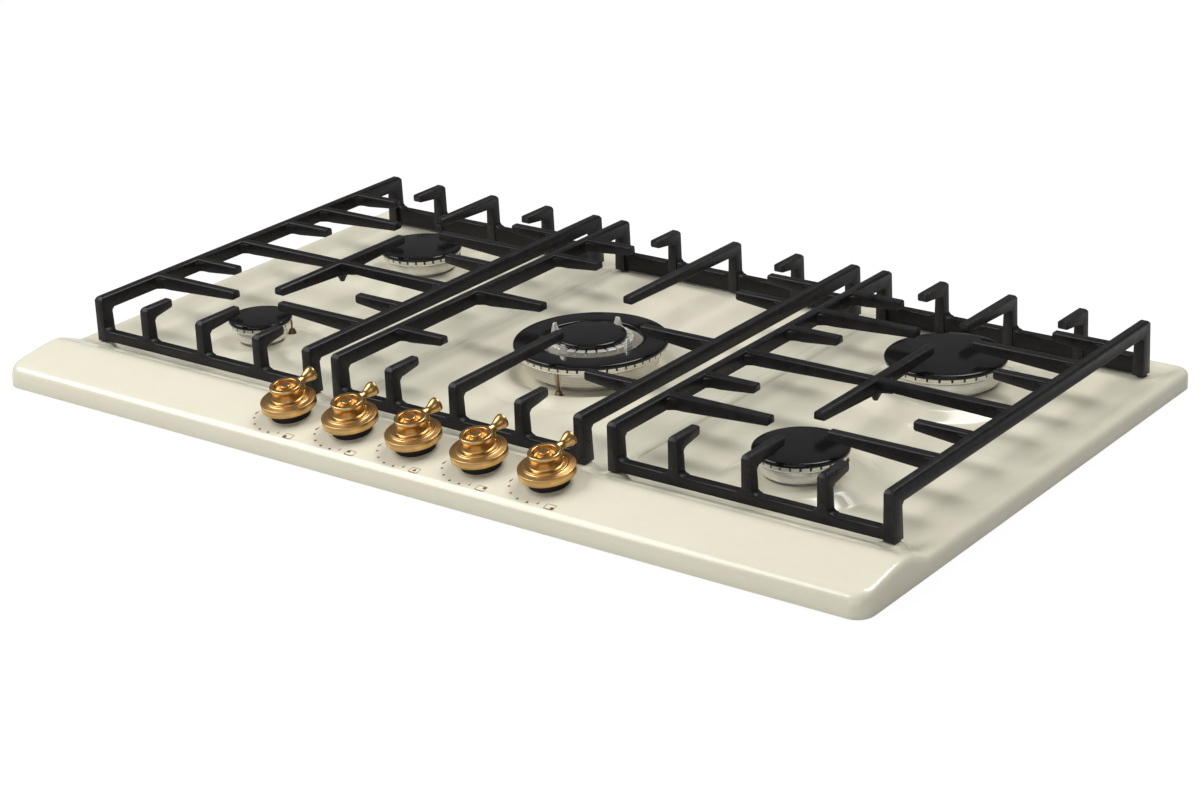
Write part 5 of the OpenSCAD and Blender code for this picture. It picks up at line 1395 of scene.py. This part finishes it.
    def knob(self, number: int, top: PressedTop, shop: Workshop) -> None:
        """One knob with its lever.

        Args:
            number: Place in the row, from the left.
            top: The pressed top that it stands on.
            shop: Where the materials come from.
        """
        name = self.names[number]
        place = self.place(number, top)
        shape = Shape()
        shape.turned(self.disc_outline(), steps=96)
        lever = shape.turned(self.lever_outline(), steps=40)
        towards = (Matrix.Rotation(math.radians(self.lever_turn), 4, "Z")
                   @ Matrix.Translation((0, self.lever_root, self.lever_z))
                   @ Matrix.Rotation(math.radians(self.lever_rise - 90), 4, "X"))
        bmesh.ops.transform(shape.bm, matrix=towards, verts=lever)
        foot = self.flange_low + self.flange_h - self.rib_sink
        rib = shape.turned([
            (0, foot), *[(self.rib_r + out, foot + up) for out, up in self.rib_flare],
            *[(self.rib_r + out, self.lever_z + up) for out, up in self.rib_head],
            (0, self.lever_z + self.rib_crown)], steps=32)
        lean = (Matrix.Rotation(math.radians(self.lever_turn), 4, "Z")
                @ Matrix.Translation((0, self.rib_out, 0)))
        bmesh.ops.transform(shape.bm, matrix=lean, verts=rib)
        shape.placed(place)
        shape.close(f"{name}_control_knob", Finish.KNOB_BRASS, f"{name}_turn", shop, f"{name}_knob",
                    axis=place)

    def build(self, top: PressedTop, shop: Workshop) -> None:
        """Makes the row of knobs."""
        for number in range(len(self.names)):
            self.knob(number, top, shop)
        self.seals(top, shop)

    def seals(self, top: PressedTop, shop: Workshop) -> None:
        """The black ring seals that stand on the panel inside the hollow of each knob."""
        shape = Shape()
        r, h, bore, bevel = self.seal_r, self.seal_h, self.seal_bore, self.seal_bevel
        for number in range(len(self.names)):
            ring = shape.turned([(bore, 0.0), (r, 0.0), (r, h - bevel), (r - bevel, h), (bore, h)],
                                steps=64)
            shape.placed(self.place(number, top), ring)
        shape.close("knob_ring_seals", Finish.BLACK_RUBBER, "hob", shop, "knob_seals")


@dataclass
class DialMarks:
    """Printed marks round each knob: dots, a large and a small flame, and the burner's place."""

    knobs: Knobs
    radius: float = 30.4
    dot_turns: tuple[float, ...] = (235.0, 215.0, 195.0, 176.0)
    big_flame: float = 250.0
    small_flame: float = 159.0
    big_size: float = 1.9
    small_size: float = 1.4
    icon_corner: float = 1.3
    icon_turn: float = 142.0
    icon_radius: float = 36.4
    icon_size: Point = (9.0, 6.5)
    icon_line: float = 0.6
    dot_r: float = 1.1
    spot_r: float = 1.5
    flame_width: float = 0.55
    flame_taper: float = 0.35
    flame_tip: float = 0.9
    flame_tip_from: float = 0.9
    flame_turn: int = 24
    print_h: float = 0.06
    spots: tuple[Point, ...] = ((-0.5, -0.5), (-0.5, 0.5), (0.0, 0.0), (0.5, 0.5), (0.5, -0.5))

    def at(self, turn: float, radius: float) -> Point:
        """Place at a clockwise angle from the back."""
        a = math.radians(turn)
        return radius * math.sin(a), radius * math.cos(a)

    def dot(self, shape: Shape, where: Point, radius: float) -> None:
        """A round dot."""
        made = bmesh.ops.create_circle(shape.bm, cap_ends=True, segments=16, radius=radius)["verts"]
        bmesh.ops.translate(shape.bm, verts=made, vec=(*where, self.print_h))

    def flame(self, shape: Shape, where: Point, size: float) -> None:
        """A drop-shaped flame that points to the back."""
        outline = []
        for turn in range(0, 360, self.flame_turn):
            out, up = math.cos(math.radians(turn)), math.sin(math.radians(turn))
            tip = self.flame_tip if up > self.flame_tip_from else 0
            outline.append((size * self.flame_width * out * (1 - self.flame_taper * (up + 1) / 2)
                            + where[0], size * (up + tip) + where[1]))
        verts = [shape.bm.verts.new((x, y, self.print_h)) for x, y in outline]
        shape.bm.faces.new(verts)

    def icon(self, shape: Shape, where: Point, spot: Point) -> None:
        """The outline of the cooktop with a dot where the burner is."""
        w, d = self.icon_size
        r = self.icon_corner
        corner = ((w / 2 - r, -d / 2 + r, -90), (w / 2 - r, d / 2 - r, 0), (-w / 2 + r, d / 2 - r, 90),
                  (-w / 2 + r, -d / 2 + r, 180))
        loops = []
        for inset in (0.0, self.icon_line):
            points = [p for cx, cy, start in corner for p in arc((cx, cy), r - inset, start, start + 90, 4)]
            loops.append([shape.bm.verts.new((x + where[0], y + where[1], self.print_h)) for x, y in points])
        for k in range(len(loops[0])):
            n = (k + 1) % len(loops[0])
            shape.bm.faces.new((loops[0][k], loops[0][n], loops[1][n], loops[1][k]))
        inside = self.spot_r + self.icon_line
        place = (where[0] + spot[0] * (w - 2 * inside), where[1] + spot[1] * (d - 2 * inside))
        self.dot(shape, place, self.spot_r)

    def build(self, top: PressedTop, shop: Workshop) -> None:
        """Prints the marks of all knobs."""
        for number, name in enumerate(self.knobs.names):
            shape = Shape()
            for turn in self.dot_turns:
                self.dot(shape, self.at(turn, self.radius), self.dot_r)
            self.flame(shape, self.at(self.big_flame, self.radius), self.big_size)
            self.flame(shape, self.at(self.small_flame, self.radius), self.small_size)
            self.icon(shape, self.at(self.icon_turn, self.icon_radius), self.spots[number])
            shape.placed(self.knobs.place(number, top))
            for face in shape.bm.faces:
                face.normal_update()
                if face.normal.z < 0:
                    face.normal_flip()
            shape.close(f"{name}_dial_marks", Finish.DIAL_PRINT, "hob", shop)


class CarriedNodes:
    """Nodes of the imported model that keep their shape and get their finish."""

    def build(self, shop: Workshop) -> None:
        """Gives every node its finish, the replaced ones too."""
        slots = {part["node"]: part["material_slot"] for part in frame["record"]["subparts"]}
        for name, node in frame["nodes"].items():
            finish = Finish(slots[name])
            if SURFACES[finish].pattern is Pattern.TURNED:
                finish = Finish.CAST_ALUMINIUM if finish is Finish.BURNER_ALLOY else Finish.PLAIN_BRASS
            node.data.materials.clear()
            node.data.materials.append(shop.material(finish))


@dataclass(frozen=True)
class Lamp:
    """A rectangular area light, placed and sized in metres."""

    name: str
    where: tuple[float, float, float]
    size: Point
    power: float


@dataclass
class Studio:
    """White worktop with its cut-out, soft lights and the camera."""

    cut_out: Point = (833.0, 475.0)
    half: float = 6000.0
    image_width: float = 1200.0
    focal_pixels: float = 2751.0
    azimuth: float = 37.73
    elevation: float = 21.93
    roll: float = -2.66
    distance: float = 2269.0
    target: tuple[float, float, float] = (31.0, -21.0, 0.0)
    worktop_z: float = -0.1
    paint: Colour = (0.55, 0.55, 0.55, 1)
    paint_rough: float = 0.9
    glow: float = 1.12
    glow_share: float = 0.8
    room: float = 0.16
    seen_room: float = 1.0
    lamps: tuple[Lamp, ...] = (
        Lamp("key_light", (-1.6, -1.0, 1.9), (2.0, 1.5), 50),
        Lamp("top_light", (0.4, 1.0, 2.2), (1.8, 0.9), 42),
        Lamp("fill_light", (0.9, -2.4, 0.9), (3.2, 1.6), 20))

    def build(self) -> None:
        """Makes the worktop, the world, the lights and the camera."""
        self._worktop()
        self._world()
        self._lights()
        self._camera()
        bpy.context.scene.view_settings.view_transform = "Standard"

    def _worktop(self) -> None:
        """A pale plane with the cut-out that the cooktop hangs in."""
        bm = bmesh.new()
        bmesh.ops.create_grid(bm, x_segments=3, y_segments=3, size=1.0)
        for v in bm.verts:
            v.co.x = math.copysign(self.half if abs(v.co.x) > 0.5 else self.cut_out[0] / 2, v.co.x) * MM
            v.co.y = math.copysign(self.half if abs(v.co.y) > 0.5 else self.cut_out[1] / 2, v.co.y) * MM
            v.co.z = self.worktop_z * MM
        middle = [f for f in bm.faces if f.calc_center_median().length < 0.1]
        bmesh.ops.delete(bm, geom=middle, context="FACES")
        mesh = bpy.data.meshes.new("worktop")
        bm.to_mesh(mesh)
        bm.free()
        plane = bpy.data.objects.new("worktop", mesh)
        bpy.context.scene.collection.objects.link(plane)
        mesh.materials.append(self._white())

    def _white(self) -> bpy.types.Material:
        """White for the camera, and matt paint that keeps a soft shadow."""
        made = bpy.data.materials.new("worktop_white")
        made.use_nodes = True
        nodes = made.node_tree.nodes
        links = made.node_tree.links
        paint = nodes["Principled BSDF"]
        paint.inputs["Base Color"].default_value = self.paint
        paint.inputs["Roughness"].default_value = self.paint_rough
        glow = nodes.new("ShaderNodeEmission")
        glow.inputs["Color"].default_value = (1, 1, 1, 1)
        glow.inputs["Strength"].default_value = self.glow
        path = nodes.new("ShaderNodeLightPath")
        seen = nodes.new("ShaderNodeMath")
        seen.operation = "MULTIPLY"
        seen.inputs[1].default_value = self.glow_share
        mix = nodes.new("ShaderNodeMixShader")
        links.new(path.outputs["Is Camera Ray"], seen.inputs[0])
        links.new(seen.outputs[0], mix.inputs["Fac"])
        links.new(paint.outputs[0], mix.inputs[1])
        links.new(glow.outputs[0], mix.inputs[2])
        links.new(mix.outputs[0], nodes["Material Output"].inputs["Surface"])
        return made

    def _world(self) -> None:
        """A dim white room that the camera sees as white."""
        world = bpy.data.worlds.new("studio")
        bpy.context.scene.world = world
        world.use_nodes = True
        nodes = world.node_tree.nodes
        links = world.node_tree.links
        back = nodes["Background"]
        back.inputs["Color"].default_value = (1, 1, 1, 1)
        path = nodes.new("ShaderNodeLightPath")
        level = nodes.new("ShaderNodeMapRange")
        level.inputs["To Min"].default_value = self.room
        level.inputs["To Max"].default_value = self.seen_room
        links.new(path.outputs["Is Camera Ray"], level.inputs["Value"])
        links.new(level.outputs["Result"], back.inputs["Strength"])

    def _lights(self) -> None:
        """Area lights aimed at the cooktop: a key from the left, one behind and a fill in front."""
        for lamp in self.lamps:
            data = bpy.data.lights.new(lamp.name, "AREA")
            data.shape = "RECTANGLE"
            data.size, data.size_y = lamp.size
            data.energy = lamp.power
            light = bpy.data.objects.new(lamp.name, data)
            light.location = lamp.where
            light.rotation_euler = (-Vector(lamp.where)).to_track_quat("-Z", "Y").to_euler()
            bpy.context.scene.collection.objects.link(light)

    def _camera(self) -> None:
        """The camera of the photograph."""
        az, el, roll = (math.radians(a) for a in (self.azimuth, self.elevation, self.roll))
        back = Vector((math.sin(az) * math.cos(el), -math.cos(az) * math.cos(el), math.sin(el)))
        right = (-back).cross(Vector((0, 0, 1))).normalized()
        up = back.cross(right)
        turned_right = right * math.cos(roll) + up * math.sin(roll)
        turned_up = up * math.cos(roll) - right * math.sin(roll)
        data = bpy.data.cameras.new("camera")
        data.sensor_width = 36.0
        data.lens = data.sensor_width * self.focal_pixels / self.image_width
        camera = bpy.data.objects.new("camera", data)
        matrix = Matrix((turned_right, turned_up, back)).transposed().to_4x4()
        matrix.translation = (Vector(self.target) + back * self.distance) * MM
        camera.matrix_world = matrix
        bpy.context.scene.collection.objects.link(camera)
        bpy.context.scene.camera = camera


def main() -> None:
    """Builds the scene in order."""
    logging.basicConfig(level=logging.INFO, format="%(name)s: %(message)s")
    shop = Workshop()
    studio = Studio()
    studio.build()
    CarriedNodes().build(shop)
    top = PressedTop()
    top.build(shop)
    PanSupports().build(shop)
    for burner in PLAIN_BURNERS:
        PlainBurner(burner).build(shop)
    WokBurner().build(shop)
    knobs = Knobs()
    knobs.build(top, shop)
    DialMarks(knobs).build(top, shop)


if __name__ == "__main__":
    main()
